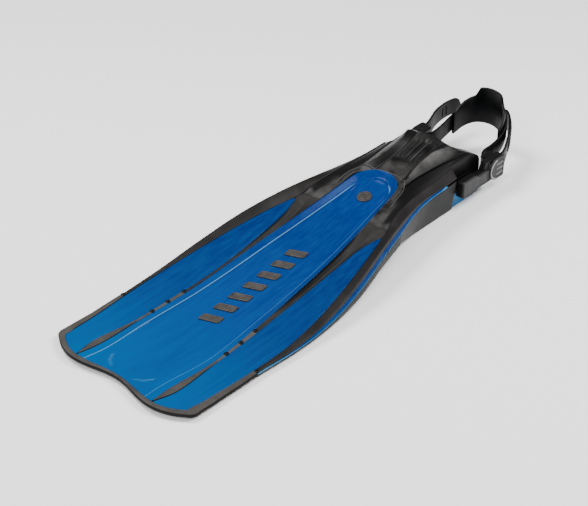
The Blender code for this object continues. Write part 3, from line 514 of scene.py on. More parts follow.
def blade_plastic(name, specular=0.04, pale=(0.12, 0.27, 0.44), depth=1.0):
    """Glossy dyed polypropylene: lighter and greener to the tip, deeper to the heel, with painted highlight
    lines in the pale colour; a depth below 1 darkens it as painted shade.
    """
    look = Look(name, specular)
    along = look.span(look.axis(look.place(), "Y"), 0.0, 1.0, -0.44, 0.06)
    colour = look.ramp(along, ((0.0, (0.0, 0.068, 0.205)), (0.35, (0.0, 0.033 * depth, 0.155 * depth)),
                               (0.72, (0.0, 0.018 * depth, 0.118 * depth)),
                               (1.0, (0.0, 0.022 * depth, 0.150 * depth))))
    clouds = look.noise(11.0, 5.0, (1.0, 0.45, 1.0), 0.6)
    colour = look.mix(look.span(clouds, -0.35, 0.75), colour, (0.0, 0.012, 0.10))
    streaks = look.noise(210.0, 4.0, (1.0, 0.05, 1.0), 0.65)
    colour = look.mix(look.span(streaks, -0.35, 0.6), colour, (0.0, 0.075, 0.22))
    # painted highlight: the pale colour along the creases, by the apex, on the crescents and on the stripe's
    # lip
    look.set("Base Color", look.mix(look.pale_and_highlight_weight(), colour, pale))
    look.set("Roughness", look.span(streaks, 0.14, 0.24))
    look.bump(look.noise(26.0, 2.0), 0.2, 0.0008)
    look.bump(look.noise(1400.0, 2.0), 0.35, 0.00003)
    return look.material


def tray_plastic(name):
    """Light blue tray whose ears above the rim are black."""
    look = Look(name, 0.15)
    ears = look.calculate("GREATER_THAN", look.axis(look.place(), "Z"), 0.0182)
    clouds = look.noise(40.0, 4.0)
    blue = look.ramp(clouds, ((0.3, (0.0, 0.11, 0.30)), (0.7, (0.0, 0.15, 0.36))))
    look.set("Base Color", look.mix(ears, blue, (0.003, 0.003, 0.0032)))
    look.set("Roughness", look.span(clouds, 0.25, 0.4))
    look.bump(look.noise(1200.0, 2.0), 0.4, 0.00004)
    return look.material


def textured_plastic(name, dark, light, scale=1500.0, roughness=0.5, specular=0.3):
    """Spark-eroded plastic: a fine pebble bump and slight tone variation."""
    look = Look(name, specular)
    cells = look.add("ShaderNodeTexVoronoi", {"Vector": look.place(), "Scale": scale})
    look.set("Base Color", look.ramp(look.noise(120.0, 4.0), ((0.3, dark), (0.7, light))))
    look.set("Roughness", roughness)
    look.bump(cells.outputs["Distance"], 0.5, 0.00012)
    return look.material


def steel(name):
    """Brushed stainless steel."""
    look = Look(name)
    brushed = look.noise(900.0, 2.0, (1.0, 1.0, 0.05))
    look.set("Base Color", look.ramp(brushed, ((0.3, (0.04, 0.04, 0.042)), (0.7, (0.07, 0.07, 0.072)))))
    look.set("Roughness", look.span(brushed, 0.22, 0.38))
    look.set("Metallic", 1.0)
    return look.material


def grey(level):
    """A neutral colour."""
    return (level, level, level)


SATIN = (0.34, 0.48)           # a roughness range
SOOT = (0.0012, 0.0012, 0.0013)
BLUE = blade_plastic("blade_blue")
# a darker copy of the blade's blue for the side panels: painted shade
SHADED_WING_BLUE = blade_plastic("wing_blue_painted_shade", depth=0.74)
# the stripe's pale colour is a painted highlight along its lower lip
STRIPE = blade_plastic("stripe_blue", 0.012, (0.05, 0.30, 0.60))
BLACK = rubber("elastomer_black", SOOT, grey(0.0035), 0.13, SATIN)
POCKET = rubber("elastomer_pocket", SOOT, grey(0.0034), 0.13, SATIN)
GLOSS = rubber("elastomer_gloss", (0.0006, 0.0006, 0.0007), (0.0018, 0.0018, 0.0019), 0.16, (0.26, 0.4))
LIP = rubber("elastomer_lip", (0.010, 0.0092, 0.0085), (0.022, 0.0205, 0.019), 0.3)
BEAD = rubber("elastomer_bead", (0.022, 0.021, 0.020), (0.045, 0.043, 0.041), 0.3)
TAUPE = rubber("elastomer_taupe", (0.0045, 0.0038, 0.0036), (0.0125, 0.0112, 0.0108), 0.16)
# WEB and TRIM are lighter where faces turn up: painted light
WEB = rubber("elastomer_web", (0.0015, 0.0014, 0.0013), (0.0050, 0.0045, 0.0043), 0.12,
             lit_top=(0.022, 0.020, 0.019))
TRIM = rubber("elastomer_trim", (0.0020, 0.0018, 0.0017), (0.0050, 0.0045, 0.0043), 0.12,
              lit_top=(0.050, 0.046, 0.043))
GREY = textured_plastic("buckle_grey", (0.014, 0.014, 0.0145), grey(0.026))
PALE = textured_plastic("buckle_pale", grey(0.16), grey(0.24), roughness=0.4)
MARK = textured_plastic("buckle_mark", grey(0.07), grey(0.11), roughness=0.45)
JET = textured_plastic("buckle_black", (0.0014, 0.0014, 0.0016), (0.0034, 0.0034, 0.0036), specular=0.2)
STEEL = steel("stainless")
TRAY = tray_plastic("tray_blue")
INLAY = textured_plastic("inlay_grey", (0.018, 0.0155, 0.0142), (0.042, 0.037, 0.034), scale=900.0)


# ---------------------------------------------------------------- blade

PANEL_ELLIPSE = panel_edge_x(ROUND_Y) - SEAM


def panel_depth(x, y):
    """Distance inside the centre panel's outline."""
    if y <= ROUND_Y:
        return panel_edge_x(y) - SEAM - abs(x)
    return (1.0 - math.hypot(x / PANEL_ELLIPSE, (y - ROUND_Y) / APEX_ROUND)) * APEX_ROUND


def band_width(y):
    """Width of the panel's border band, a little more towards the tip."""
    return BORDER_W + 2.5 * clamp((BLADE_LOW_Y - y) / TIP_RUN)


def crescent_reach(x, y):
    """1 on the ellipse that the two crescents near the tip follow."""
    return math.hypot(x / CRESCENT_X, (y - CRESCENT_Y) / CRESCENT_R)


def panel_painted_highlight(x, y, z):
    """Weight of the painted highlight lines: the creases, lit more on the left, a short glint by the apex and
    two crescents.
    """
    if z <= panel_top(x, y) - 0.6:
        return 0.0
    inside = panel_depth(x, y) - band_width(y)
    # painted highlight: the left crease gets more than the right
    lit_side = 0.7 if x < 0 else 0.35
    crease = bell((inside - 0.1) / 0.8) * lit_side * clamp((-10.0 - y) / 12.0)
    by_apex = bell((inside - 1.0) / 1.1) * bell((y - 1.0) / 8.0) * (x > 12.0)
    crescent = bell((crescent_reach(x, y) - 1.0) / 0.045) * bell((abs(x) - 26.0) / 13.0) * (y < -402)
    return clamp(crease + by_apex + 0.4 * crescent)


def panel_top(x, y):
    """Height of the centre panel: a border band, a sunk field, its crease, crescents and rear step."""
    depth, band = panel_depth(x, y), band_width(y)
    sunk = PANEL_RECESS * clamp((y + 400.0) / 80.0)
    z = crease_z(y) + edge_lift(y) * clamp(1.0 - depth / band)
    z -= sunk * smooth_step((depth - band - 0.3) / 1.5)
    z += 0.35 * bell((depth - band) / 0.9)
    z += 0.45 * bell((crescent_reach(x, y) - 1.0) / 0.06) * (y < -404) * (abs(x) > 18)
    z -= 0.9 * bell((depth - band - 4.2) / 1.1) * clamp((y + 50.0) / 30.0)
    return z - edge_drop(depth, 0.8)


PANEL_DEPTHS = (0, 0.08, 0.25, 0.5, 0.85, 1.6, 3.0, 4.6, 6.2, 7.2, 7.6, 8.0, 8.3, 8.6, 9.0, 9.5, 10.2,
                11.0, 12.0, 12.6, 13.2, 14.0, 15.0)
PANEL_CORE = 16                # steps from the last depth to the middle


def panel_across(y, shift):
    """Positions from the edge to the middle; shift moves the crease's samples out with a wider band."""
    edge = panel_edge_x(min(y, ROUND_Y)) - SEAM
    depths = [d + shift * smooth_step((d - 1.6) / 5.6) for d in PANEL_DEPTHS]
    inner = edge - depths[-1]
    return [edge - d for d in depths] + [inner * (1 - k / PANEL_CORE) for k in range(1, PANEL_CORE + 1)]


def level_lines(start, end, step):
    """Straight rows across the blade; each gives y for an x."""
    return [lambda x, y=y: y for y in stations(start, end, step)]


def tip_lines(end, step):
    """Rows that follow the tip's edge at first and then run straight."""
    curved = [lambda x, t=t: (1 - t) * tip_inner_y(x) + t * TIP_ROWS_Y for t in spread(0.0, 0.95, 11)]
    return curved + level_lines(TIP_ROWS_Y, end, step)


def panel_bm():
    """The centre panel: a long grid, then a half disc round the apex."""
    lines = tip_lines(ROUND_Y, 3.5)
    half = [panel_across(line(30.0), band_width(line(30.0)) - BORDER_W) for line in lines]
    count = len(half[0])
    columns = 2 * count - 1

    def place(i, j):
        x = -half[i][j] if j < count else half[i][columns - 1 - j]
        y = lines[i](x)
        return (x, y, panel_top(x, y))

    points, faces = grid(len(lines), columns, place)
    last = (len(lines) - 1) * columns
    ring_of = [[last + i] for i in range(count - 1)]
    turns = 48
    for k in range(1, turns):
        angle = math.pi * (1 - k / turns)
        for i in range(count - 1):
            share = half[-1][i] / half[-1][0]
            x = PANEL_ELLIPSE * share * math.cos(angle)
            y = ROUND_Y + APEX_ROUND * share * math.sin(angle)
            ring_of[i].append(len(points))
            points.append((x, y, panel_top(x, y)))
    for i in range(count - 1):
        ring_of[i].append(last + columns - 1 - i)
    centre = last + count - 1
    for k in range(turns):
        for i in range(count - 2):
            faces.append((ring_of[i][k], ring_of[i][k + 1], ring_of[i + 1][k + 1], ring_of[i + 1][k]))
        faces.append((ring_of[-1][k], ring_of[-1][k + 1], centre))

    def under(x, y, z):
        return z - PANEL_T + UNDER_ROUND * edge_drop(panel_depth(x, y), 0.8)

    return solid_from_top(points, faces, under)


def strip_bm(lines, edges, height, thickness, round_off, across):
    """A closed strip between two edge lines: edges(y) gives (low x, high x)."""
    def place(i, j):
        line = lines[i]
        low, high = edges(line(75.0))
        x = low + (high - low) * across[j]
        y = line(x)
        depth = min(x - low, high - x)
        return (x, y, height(x, y) - edge_drop(depth, round_off))

    points, faces = grid(len(lines), len(across), place)

    def under(x, y, z):
        low, high = edges(y)
        return z - thickness + UNDER_ROUND * edge_drop(min(x - low, high - x), round_off)

    return solid_from_top(points, faces, under)


def eased(count, edge=0.02):
    """Shares from 0 to 1, closer together near both ends."""
    first = [0.0, edge * 0.15, edge * 0.5, edge]
    return first + spread(edge, 1 - edge, count)[1:-1] + [1 - share for share in reversed(first)]


def between(low_x, high_x, low_z, high_z):
    """Height between two edge lines, and the share of the way across."""
    def height(x, y):
        low, high = low_x(y), high_x(y)
        t = clamp((x - low) / max(high - low, 1e-6))
        return (1 - t) * low_z(y) + t * high_z(y), t
    return height


def wing_bm():
    """The side panel between the rib's slot and the rail, slightly dished."""
    base = between(wing_inner_x, rail_inner_x, wing_z, rail_z)

    def height(x, y):
        z, t = base(x, y)
        rim = 0.35 * (bell((t - 0.035) / 0.03) + bell((t - 0.965) / 0.03))
        return z - 0.9 * math.sin(math.pi * t) ** 0.7 + rim

    def edges(y):
        return wing_inner_x(y) + SEAM, rail_inner_x(y) - SEAM

    return strip_bm(tip_lines(WING_END_Y, 4.0), edges, height, WING_T, 0.6, eased(26))


def neck(y):
    """The rib's neck laps a little over the panels on both sides."""
    return 0.55 * smooth_step((y + 362.0) / 20.0) * smooth_step((RIB_END_Y + 2.0 - y) / 6.0)


def rib_bm():
    """The leaf-shaped elastomer rib in the slot at the tip, with a crest along its middle."""
    base = between(panel_edge_x, wing_inner_x, panel_z, wing_z)

    def height(x, y):
        z, t = base(x, y)
        width = wing_inner_x(y) - panel_edge_x(y)
        return z + 0.3 + min(1.5, 0.2 * width) * (1 - abs(2 * t - 1)) ** 0.85

    def edges(y):
        return panel_edge_x(y) + SEAM / 2 - neck(y), wing_inner_x(y) - SEAM / 2 + neck(y)

    return strip_bm(level_lines(RIB_START_Y, RIB_END_Y, 3.0), edges, height, 3.4, 0.35, eased(11, 0.06))


def channel_depth(y):
    """Depth of the channel's trough: it grows behind the rib and fills up again towards the pocket."""
    return clamp((y - RIB_END_Y) / 150.0) * (1.0 - smooth_step((y + 104.0) / 52.0))


def web_bm():
    """The folding elastomer web of the channel behind the rib: a trough with two soft folds."""
    def outer_x(y):
        return wing_inner_x(y) if y <= WING_END_Y else rail_inner_x(y)

    def outer_z(y):
        return wing_z(y) if y <= WING_END_Y else rail_z(y)

    base = between(panel_edge_x, outer_x, panel_z, outer_z)

    def height(x, y):
        z, t = base(x, y)
        trough = TROUGH * channel_depth(y) * math.sin(math.pi * t) ** 0.8
        fold = 0.45 * channel_depth(y) * (math.cos(4 * math.pi * t) * math.sin(math.pi * t))
        return z - 0.3 - trough - fold

    def edges(y):
        return panel_edge_x(y) + SEAM / 2, outer_x(y) - SEAM / 2

    return strip_bm(level_lines(RIB_END_Y, POCKET_FRONT_Y + 0.4, 3.0), edges, height, 2.0, 0.2, eased(25))


def trim_path():
    """Pairs of inner and outer plan points from the right rail's front end to the middle of the tip."""
    hold, turn_y = rail_inner_x(-434), -410.0
    corner = (Vector((106.2, -411.5)), Vector((107.3, -421.0)), Vector((100.5, tip_outer_y(100.5))))
    pairs = []
    for y in stations(RAIL_FRONT_Y, TIP_ROWS_Y, 5.0):
        flare = 0.6 * smooth_step((RAIL_FRONT_Y - y) / 16.0) + 1.5 * smooth_step((-370.0 - y) / 36.0)
        pairs.append(((rail_inner_x(y), y), (rail_outer_x(y) + flare, y)))
    for t, outer in zip(spread(0.0, 1.0, 17), arc(*corner, 16)):
        pairs.append(((hold - 0.2 * t, turn_y + (tip_inner_y(hold) - turn_y) * t), (outer.x, outer.y)))
    for x in spread(hold - 1.0, 0.0, 60):
        lobe = x * (1.03 - 0.055 * smooth_step((x - 76.0) / 19.0))
        pairs.append(((x, tip_inner_y(x)), (lobe, tip_outer_y(lobe))))
    return pairs


def trim_bm():
    """The elastomer edge round the tip."""
    right = trim_path()
    pairs = right + [((-xi, yi), (-xo, yo)) for (xi, yi), (xo, yo) in reversed(right[:-1])]
    rings = []
    for (xi, yi), (xo, yo) in pairs:
        out = Vector((xo - xi, yo - yi))
        width = out.length
        out.normalize()
        top = crease_z(yi) + rail_lift(yi) * min(abs(xi) / 95.0, 1.0) ** 2 + 0.5
        corners = ((SEAM, top - 0.2, 0.5), (1.2, top + 0.1, 0.6), (width * 0.86, top - 0.1, 0.8),
                   (width, top - 1.2, 0.8), (width, top - 4.2, 0.7), (width * 0.8, top - 4.9, 0.8),
                   (SEAM, top - 4.6, 0.5))
        rings.append([(xi + out.x * p.x, yi + out.y * p.x, p.y) for p in rounded(corners, 3)])
    return loft_bm(rings)


def side_top(x, y):
    """Height of the pocket's side between its groove and its shoulder."""
    gx, gz, sx, sz = groove_x(y), groove_z(y), rail_outer_x(y) - SHOULDER_IN, rail_top_z(y)
    mx, mz = (gx + sx) / 2 + 2.0, (gz + sz) / 2 + 2.0
    if x < mx:
        return gz + (mz - gz) * (x - gx) / (mx - gx)
    return mz + (sz - mz) * (x - mx) / (sx - mx)


def rail_shaded_side(y):
    """How far the dark rubber comes down over the rail's outer side and the stripe's upper part: painted
    shade for the rail's shaded side.
    """
    return 0.9 + 0.4 * max(rail_top_z(y) - stripe_low_z(y) - 2.5, 0.0)


def rail_upper_bm():
    """The rubber rail; at its rear it runs on as a band along the pocket's shoulder."""
    rings = []
    for y in stations(RAIL_FRONT_Y + 0.2, SIDE_WALL_END_Y - 1.5, 3.0):
        edge, zo, side = rail_outer_x(y), rail_top_z(y), rail_shaded_side(y)
        low = stripe_low_z(y) + 0.3
        on_pocket = smooth_step((y - NOSE_Y + 4.0) / 26.0)
        xi = (rail_inner_x(y) if y < -80 else band_inner_x(y)) + SEAM
        zi = crease_z(min(y, POCKET_FRONT_Y)) + rail_lift(y)
        zi = (1 - on_pocket) * zi + on_pocket * (side_top(xi, y) + 0.1 if y > NOSE_Y - 6.0 else zi)
        mid_x = (xi + edge - 1.0) / 2
        mid_z = (zi + zo) / 2 + 0.7
        under = (xi + 1.0) if y < NOSE_Y else xi + 1.0 + 2.0 * on_pocket
        foot = low + (zi - 4.0 - low) * on_pocket if zi - 4.0 > low else low
        rings.append(section(((xi, zi, 0.5), (xi + 1.2, zi + 0.9, 0.8), (mid_x, mid_z, 3.0),
                              (edge - 0.9, zo + 0.1, 0.9), (edge - 0.4, zo - side, 0.4),
                              (edge - 3.4, zo - side - 0.3, 0.2), (edge - CORE_IN, low, 0.3),
                              (under, foot, 0.3)), y))
    return loft_bm(rings)


def stripe_span(y):
    """Lower and upper edge of the blue stripe; the upper edge stays below the rubber's painted shade."""
    low = stripe_low_z(y) + 0.15
    return low, max(rail_top_z(y) - rail_shaded_side(y) - 0.4, low + 0.6)


def rail_core_bm():
    """The blue stripe: the stiff core's outer face, a little proud and tapering out on the pocket."""
    rings = []
    for y in stations(RAIL_FRONT_Y + 0.2, STRIPE_END_Y, 4.0):
        xo = rail_outer_x(y)
        low, top = stripe_span(y)
        taper = clamp((STRIPE_END_Y - y) / 18.0)
        top = low + (top - low) * (0.25 + 0.75 * taper)
        lip = min(1.0, 0.3 * (top - low))
        rings.append(section(((xo - CORE_IN, top, 0.1), (xo - 1.2, top, 0.3), (xo - 0.5, top - lip, 0.5),
                              (xo - 0.3, low + 2.2 * lip, 0.4), (xo + 0.15, low + 1.5 * lip, 0.3),
                              (xo + 0.1, low + 0.6 * lip, 0.4), (xo - 1.0, low, 0.4),
                              (xo - CORE_IN, low, 0.1)), y))
    return loft_bm(rings)


def rail_lower_bm():
    """The rubber below the stripe."""
    rings = []
    for y in stations(RAIL_FRONT_Y + 0.2, POCKET_FRONT_Y + 0.3, 4.0):
        xo, top, low = rail_outer_x(y), stripe_low_z(y) - SEAM, rail_low_z(y)
        depth = 5.0 + 4.0 * clamp((y - RAIL_FRONT_Y) / 200.0)
        rings.append(section(((xo - 0.2, top, 0.4), (xo - 1.4, low + 1.0, 1.6), (xo - 3.0, low, 1.2),
                              (xo - depth, low, 1.0), (xo - depth, top, 0.3)), y))
    return loft_bm(rings)


def stud_bm(y):
    """A small domed plug: three in the slot's neck and one on the rail's front end."""
    x = (panel_edge_x(y) + wing_inner_x(y)) / 2
    z = panel_z(y) + 0.6
    if y < RAIL_FRONT_Y + 2.0:
        x, z = (rail_inner_x(y) + rail_outer_x(y)) / 2, rail_top_z(y) + 0.5
    profile = [(STUD_R * math.sin(turn), STUD_R * math.cos(turn)) for turn in spread(0.0, math.pi, 13)]
    return turned_bm(profile, 20, Matrix.Translation((x, y, z)) @ Matrix.Diagonal((1.0, 1.0, STUD_FLAT, 1.0)))


def rib_line(x, y, z):
    """The rib's neck is paler than its leaf."""
    return 0.85 * smooth_step((y + 352.0) / 16.0)


def stripe_painted_highlight(x, y, z):
    """A painted highlight along the stripe's lower lip."""
    low, top = stripe_span(y)
    return bell((z - low - min(1.0, 0.3 * (top - low))) / 0.7)


STUDS_Y = (RAIL_FRONT_Y + 1.0, -325.0, -301.5, -277.5)


def build_blade():
    """The centre panel, the tip's trim, and each side's panel, rib, web, rail and studs."""
    panel = make_object("center_panel_skin", panel_bm(), BLUE, panel_painted_highlight)
    settle(panel, "root", "blade_blue", "center_panel")
    settle(make_object("tip_trim_skin", trim_bm(), TRIM), "root", "elastomer_black", "tip_trim")
    for label, side in SIDES:
        for name, bm, mat, slot, node, line in (
                ("wing_skin", wing_bm(), SHADED_WING_BLUE, "blade_blue", "wing_panel", None),
                ("tip_rib_skin", rib_bm(), TRIM, "elastomer_black", "tip_rib", rib_line),
                ("channel_web_skin", web_bm(), WEB, "elastomer_black", "channel_web", None),
                ("upper_rail_skin", rail_upper_bm(), TAUPE, "elastomer_black", "upper_rail", None),
                ("rail_stripe_skin", rail_core_bm(), STRIPE, "blade_blue", "rail_core", stripe_painted_highlight),
                ("lower_rail_skin", rail_lower_bm(), BLACK, "elastomer_black", "lower_rail", None)):
            skin = make_object(f"{name}_{label}", mirror_bm(bm, side), mat, line)
            settle(skin, "root", slot, f"{node}_{label}")
        for index, y in enumerate(STUDS_Y):
            stud = make_object(f"stud_{label}_{index + 1}", mirror_bm(stud_bm(y), side), BLACK)
            settle(stud, "root", "elastomer_black")


# ---------------------------------------------------------------- foot pocket

HEEL_WALL_X, HEEL_LOW_Z, SOLE_PLATE_X, POCKET_SOLE_Z = 48.4, 4.3, 47.0, 5.8
POST_HOLE_X, CUT_REAR_Y = 46.5, 165.0


INSTEP_X = (0.0, 1.2, 2.0, 2.3, 2.7, 3.2, 3.9, 4.4, 4.8, 5.3, 5.8, 6.1, 6.4, 6.9, 7.4, 7.8, 8.6, 10.0, 11.4,
            12.5, 12.9, 13.2, 13.6, 14.0, 14.4, 14.8, 15.6)


def instep_relief(x, y):
    """Flex grooves of the instep: a wide slot along the middle and two thin ones on each side."""
    lane = smooth_step((y - 57.0) / 2.5) * smooth_step((100.0 - y) / 4.0)
    wide = 2.8 * smooth_step((2.9 - abs(x)) / 0.9)
    ridges = 0.7 * bell((abs(x) - 4.6) / 1.1)
    thin = 1.7 * bell((abs(x) - 6.9) / 1.1) + 1.7 * bell((abs(x) - 13.6) / 1.2)
    step = 1.1 * smooth_step((y - 52.0) / 3.0) * smooth_step((17.0 - abs(x)) / 2.0)
    return lane * (ridges - wide - thin) - step * (1 - smooth_step((y - 100.0) / 6.0))


def instep_line(y):
    """The section's top from the middle to the valley."""
    line = []
    reach = valley_x(y)
    for x in INSTEP_X + tuple(spread(16.2, 0.94 * reach, 5)):
        z = top_z(y) + (valley_z(y) - top_z(y)) * x / reach
        line.append((x, z + instep_relief(x, y)))
    return line


def blade_top(x, y):
    """Height of the blade's upper side in front of the pocket."""
    edge, rail, outer = panel_edge_x(y), rail_inner_x(y), rail_outer_x(y) - 3.4
    if x <= edge:
        return crease_z(y) - PANEL_T
    if x <= rail:
        t = (x - edge) / (rail - edge)
        flat = (1 - t) * panel_z(y) + t * rail_z(y)
        return flat - TROUGH * channel_depth(y) * math.sin(math.pi * t) ** 0.8
    t = clamp((x - rail) / (outer - rail))
    return (1 - t) * rail_z(y) + t * rail_top_z(y)


def filled(line):
    """Extra points on the long flat parts of a pocket section: after its crest, groove and side."""
    extra = {10: 3, 25: 3, 30: 2}
    result = []
    for i, p in enumerate(line):
        result.append(p)
        count = extra.get(i, 0)
        for k in range(count):
            t = (k + 1) / (count + 1)
            result.append((p[0] + (line[i + 1][0] - p[0]) * t, p[1] + (line[i + 1][1] - p[1]) * t))
    return result


def crest_corners(y, floor_z):
    """Corners of the pocket's section from the valley over the crest to the groove's floor."""
    gx, gz = groove_x(y), groove_z(y)
    return [(valley_x(y) * 0.95, valley_z(y), 0.0), (valley_x(y), valley_z(y) + 0.2, 2.0),
            (crest_x(y), crest_z(y), 1.6), (gx - 0.9, gz + 1.0, 0.5), (gx + 0.2, floor_z, 0.4)]


def front_section(y):
    """Half section of the pocket ahead of the side wall's end."""
    outer = rail_outer_x(y)
    shoulder_x, shoulder_z = outer - SHOULDER_IN, rail_top_z(y)
    gx, gz = groove_x(y), groove_z(y)
    mid_x, mid_z = (gx + shoulder_x) / 2 + 2.0, (gz + shoulder_z) / 2 + 2.0
    low = stripe_low_z(y) - 0.15
    cut = 2.2 * smooth_step((y + 44.0) / 26.0)
    side = [(gx + 1.9, gz + 0.3, 0.8), (mid_x, mid_z, 6.0), (shoulder_x, shoulder_z, 1.2),
            (shoulder_x, low, 0.2), (outer - 0.3, low, 0.8), (side_low_x(y), side_low_z(y), 3.0),
            (sole_edge_x(y), sole_edge_z(y), 2.0), (sole_edge_x(y) - 6.0, sole_edge_z(y), 0.0)]
    return instep_line(y) + filled(open_rounded(crest_corners(y, gz + 0.2 - cut) + side))


def heel_section(y):
    """Half section of the pocket behind the side wall's end."""
    x, gx, gz = HEEL_WALL_X, groove_x(y), groove_z(y)
    side = [(gx + 1.9, gz - 0.6, 0.8), (x - 0.8, gz - 3.4, 1.4), (x, gz - 8.0, 3.0), (x, 40.0, 1.0),
            (x, 30.0, 1.0), (x - 0.3, 12.0, 1.0), (x - 1.2, HEEL_LOW_Z, 1.2), (x - 8.0, HEEL_LOW_Z, 0.0)]
    return instep_line(y) + filled(open_rounded(crest_corners(y, gz - 2.2) + side))


def whole_ring(half, y, low):
    """A closed section from its right half, starting at the top of the middle."""
    right = [(x, y, z) for x, z in half[1:]]
    return [(0.0, y, half[0][1])] + right + [(0.0, y, low)] + [(-x, y, z) for x, y, z in reversed(right)]


def nose_ring(y):
    """The pocket's front, drawn out over the blade so that rails and channels flow into it."""
    full_y = max(y, POCKET_FRONT_Y)
    s = smooth_step((y - NOSE_Y) / (POCKET_FRONT_Y + 4.0 - NOSE_Y))
    half = []
    turn = len(INSTEP_X) + 5 + 7 * 5 + 8 + 1   # points of the section's upper side
    for i, (x, z) in enumerate(front_section(full_y)):
        if i < turn:
            x = min(x, rail_outer_x(y) - CORE_IN)
            z = (1 - s) * (blade_top(x, y) - 0.5) + s * z
        else:
            x = min(x, rail_outer_x(y) - 0.35)
            z = (1 - s) * max(z, min(rail_low_z(y) + 0.6, z + 20.0)) + s * z
        half.append((x, z))
    low = (1 - s) * (crease_z(y) - 6.0) + s * sole_edge_z(full_y)
    (side_x, side_z), (last_x, last_z) = half[-2:]
    last_z = (low + side_z) / 2
    side_z = max(side_z, (1 - s) * rail_low_z(y))
    return whole_ring(half[:-2] + [(side_x, side_z), (last_x, last_z)], y, low)


def pocket_rings():
    """The pocket from its nose to its heel; the side wall's end is a step."""
    end = SIDE_WALL_END_Y
    rings = [nose_ring(y) for y in stations(NOSE_Y, POCKET_FRONT_Y + 4.0, 1.6)]
    for y in stations(POCKET_FRONT_Y + 6.0, end - 1.0, 1.8):
        rings.append(whole_ring(front_section(y), y, sole_edge_z(y)))
    full = whole_ring(front_section(end), end, 0.0)
    heel = whole_ring(heel_section(end), end, HEEL_LOW_Z)
    for t, y in ((0.015, end - 0.5), (0.06, end - 0.15), (0.14, end)):
        rings.append([(a[0] + (b[0] - a[0]) * t, y, a[2] + (b[2] - a[2]) * t) for a, b in zip(full, heel)])
    for y in stations(end + 0.2, 150.0, 2.4):
        rings.append(whole_ring(heel_section(y), y, HEEL_LOW_Z))
    return rings


def cavity_rings():
    """The space for the foot, from the toes out through the open heel."""
    half_width = smooth_curve(((-38, 38), (-15, 44), (10, 45.5), (83, 45), (CUT_REAR_Y, 45)))
    low = smooth_curve(((-38, 18), (-15, 11), (5, 9), (CUT_REAR_Y, 9)))
    high = smooth_curve(((-38, 37), (0, 45), (31, 50), (60, 59.5), (95, 69), (CUT_REAR_Y, 71)))
    rings = []
    for y in stations(-38.0, CUT_REAR_Y, 5.0):
        w, zb, zt = half_width(y), low(y), high(y)
        zm = min(zt - 3.0, groove_z(y) - 6.0)
        corners = [(9.0, zt, 0.0), (18.0, zt - 0.5, 6.0), (31.0, zm, 4.0), (w - 2.5, zm - 7.0, 4.0),
                   (w, zm - 13.0, 5.0), (w, zb + 5.0, 4.0), (w - 5.0, zb, 4.0), (w - 16.0, zb, 0.0)]
        rings.append(whole_ring([(0.0, zt)] + open_rounded(corners), y, zb))
    return rings


def opening_rings():
    """Everything above and behind the pocket's opening edge."""
    edge = rounded(((109, 95, 0.1), (109, 75, 3.0), (113, 68.5, 4.0), (124, 61.5, 4.0), (136, 56, 4.0),
                    (144, 51, 3.0), (147.5, 45, 3.0), (148, 36, 3.0), (146.5, -5, 0.1),
                    (CUT_REAR_Y, -5, 0.1), (CUT_REAR_Y, 95, 0.1)), 4)
    rings = []
    for x in spread(-60.0, 60.0, 61):
        bow = 7.0 * min((x / 34.0) ** 2, 1.0)
        rings.append([(x, p.x - (bow if p.x < 112 else bow * clamp((118.0 - p.x) / 6.0)), p.y) for p in edge])
    return rings


def panel_seat_rings():
    """The room that the panel's rear end needs in the foot pocket, open upward."""
    clear, above = 0.25, 14.0
    rings = []

    def ring(y, edge):
        def height(x):
            inward = max(edge - abs(x), 0.0)
            lift = edge_lift(y) * clamp(1.0 - inward / BORDER_W)
            return crease_z(y) + lift - PANEL_RECESS * clamp((inward - BORDER_W) / 1.5)
        across = spread(-edge - clear, edge + clear, 41)
        top = [(x, y, height(x) + above) for x in across]
        return top + [(x, y, height(x) - PANEL_T - clear) for x in reversed(across)]

    for y in stations(NOSE_Y - 2.0, ROUND_Y, 3.0):
        rings.append(ring(y, panel_edge_x(y) - SEAM))
    for angle in spread(5.0, 84.0, 22):
        y = ROUND_Y + (APEX_ROUND + clear) * math.sin(math.radians(angle))
        rings.append(ring(y, PANEL_ELLIPSE * math.cos(math.radians(angle))))
    return rings


def cut_away(obj, parts):
    """Cut solids that don't touch each other out of a piece."""
    tool = make_object("tool", join_bm(parts), obj.data.materials[0])
    modifier = obj.modifiers.new("cut", "BOOLEAN")
    modifier.operation = "DIFFERENCE"
    modifier.solver = "EXACT"
    modifier.object = tool
    bpy.context.view_layer.objects.active = obj
    bpy.ops.object.modifier_apply(modifier=modifier.name)
    bpy.data.objects.remove(tool, do_unlink=True)


def weld(mesh):
    """Merge the near-coincident points that a cut leaves, and drop faces that lie back to back."""
    bm = bmesh.new()
    bm.from_mesh(mesh)
    bmesh.ops.remove_doubles(bm, verts=bm.verts, dist=0.00002)
    bmesh.ops.dissolve_degenerate(bm, edges=bm.edges, dist=0.00002)
    bmesh.ops.triangulate(bm, faces=[face for face in bm.faces if len(face.verts) > 4])
    seen = {}
    for face in bm.faces:
        seen.setdefault(frozenset(vert.index for vert in face.verts), []).append(face)
    doubled = [face for same in seen.values() if len(same) > 1 for face in same]
    bmesh.ops.delete(bm, geom=doubled, context="FACES")
    bm.to_mesh(mesh)
    bm.free()


def peg_bm(centre, radius, length):
    """A cylinder along X."""
    bm = bmesh.new()
    place = Matrix.Translation(centre) @ Matrix.Rotation(math.pi / 2, 4, "Y")
    bmesh.ops.create_cone(bm, cap_ends=True, segments=24, radius1=radius, radius2=radius, depth=length,
                          matrix=place)
    return bm


def pocket_top(x, y):
    """Height of the pocket's outside near the toe."""
    ax = abs(x)
    line = ((0.0, top_z(y)), (valley_x(y), valley_z(y)), (crest_x(y), crest_z(y)), (groove_x(y), groove_z(y)))
    for (xa, za), (xb, zb) in zip(line, line[1:]):
        if ax <= xb:
            return za + (zb - za) * (ax - xa) / max(xb - xa, 1e-6)
    return line[-1][1]


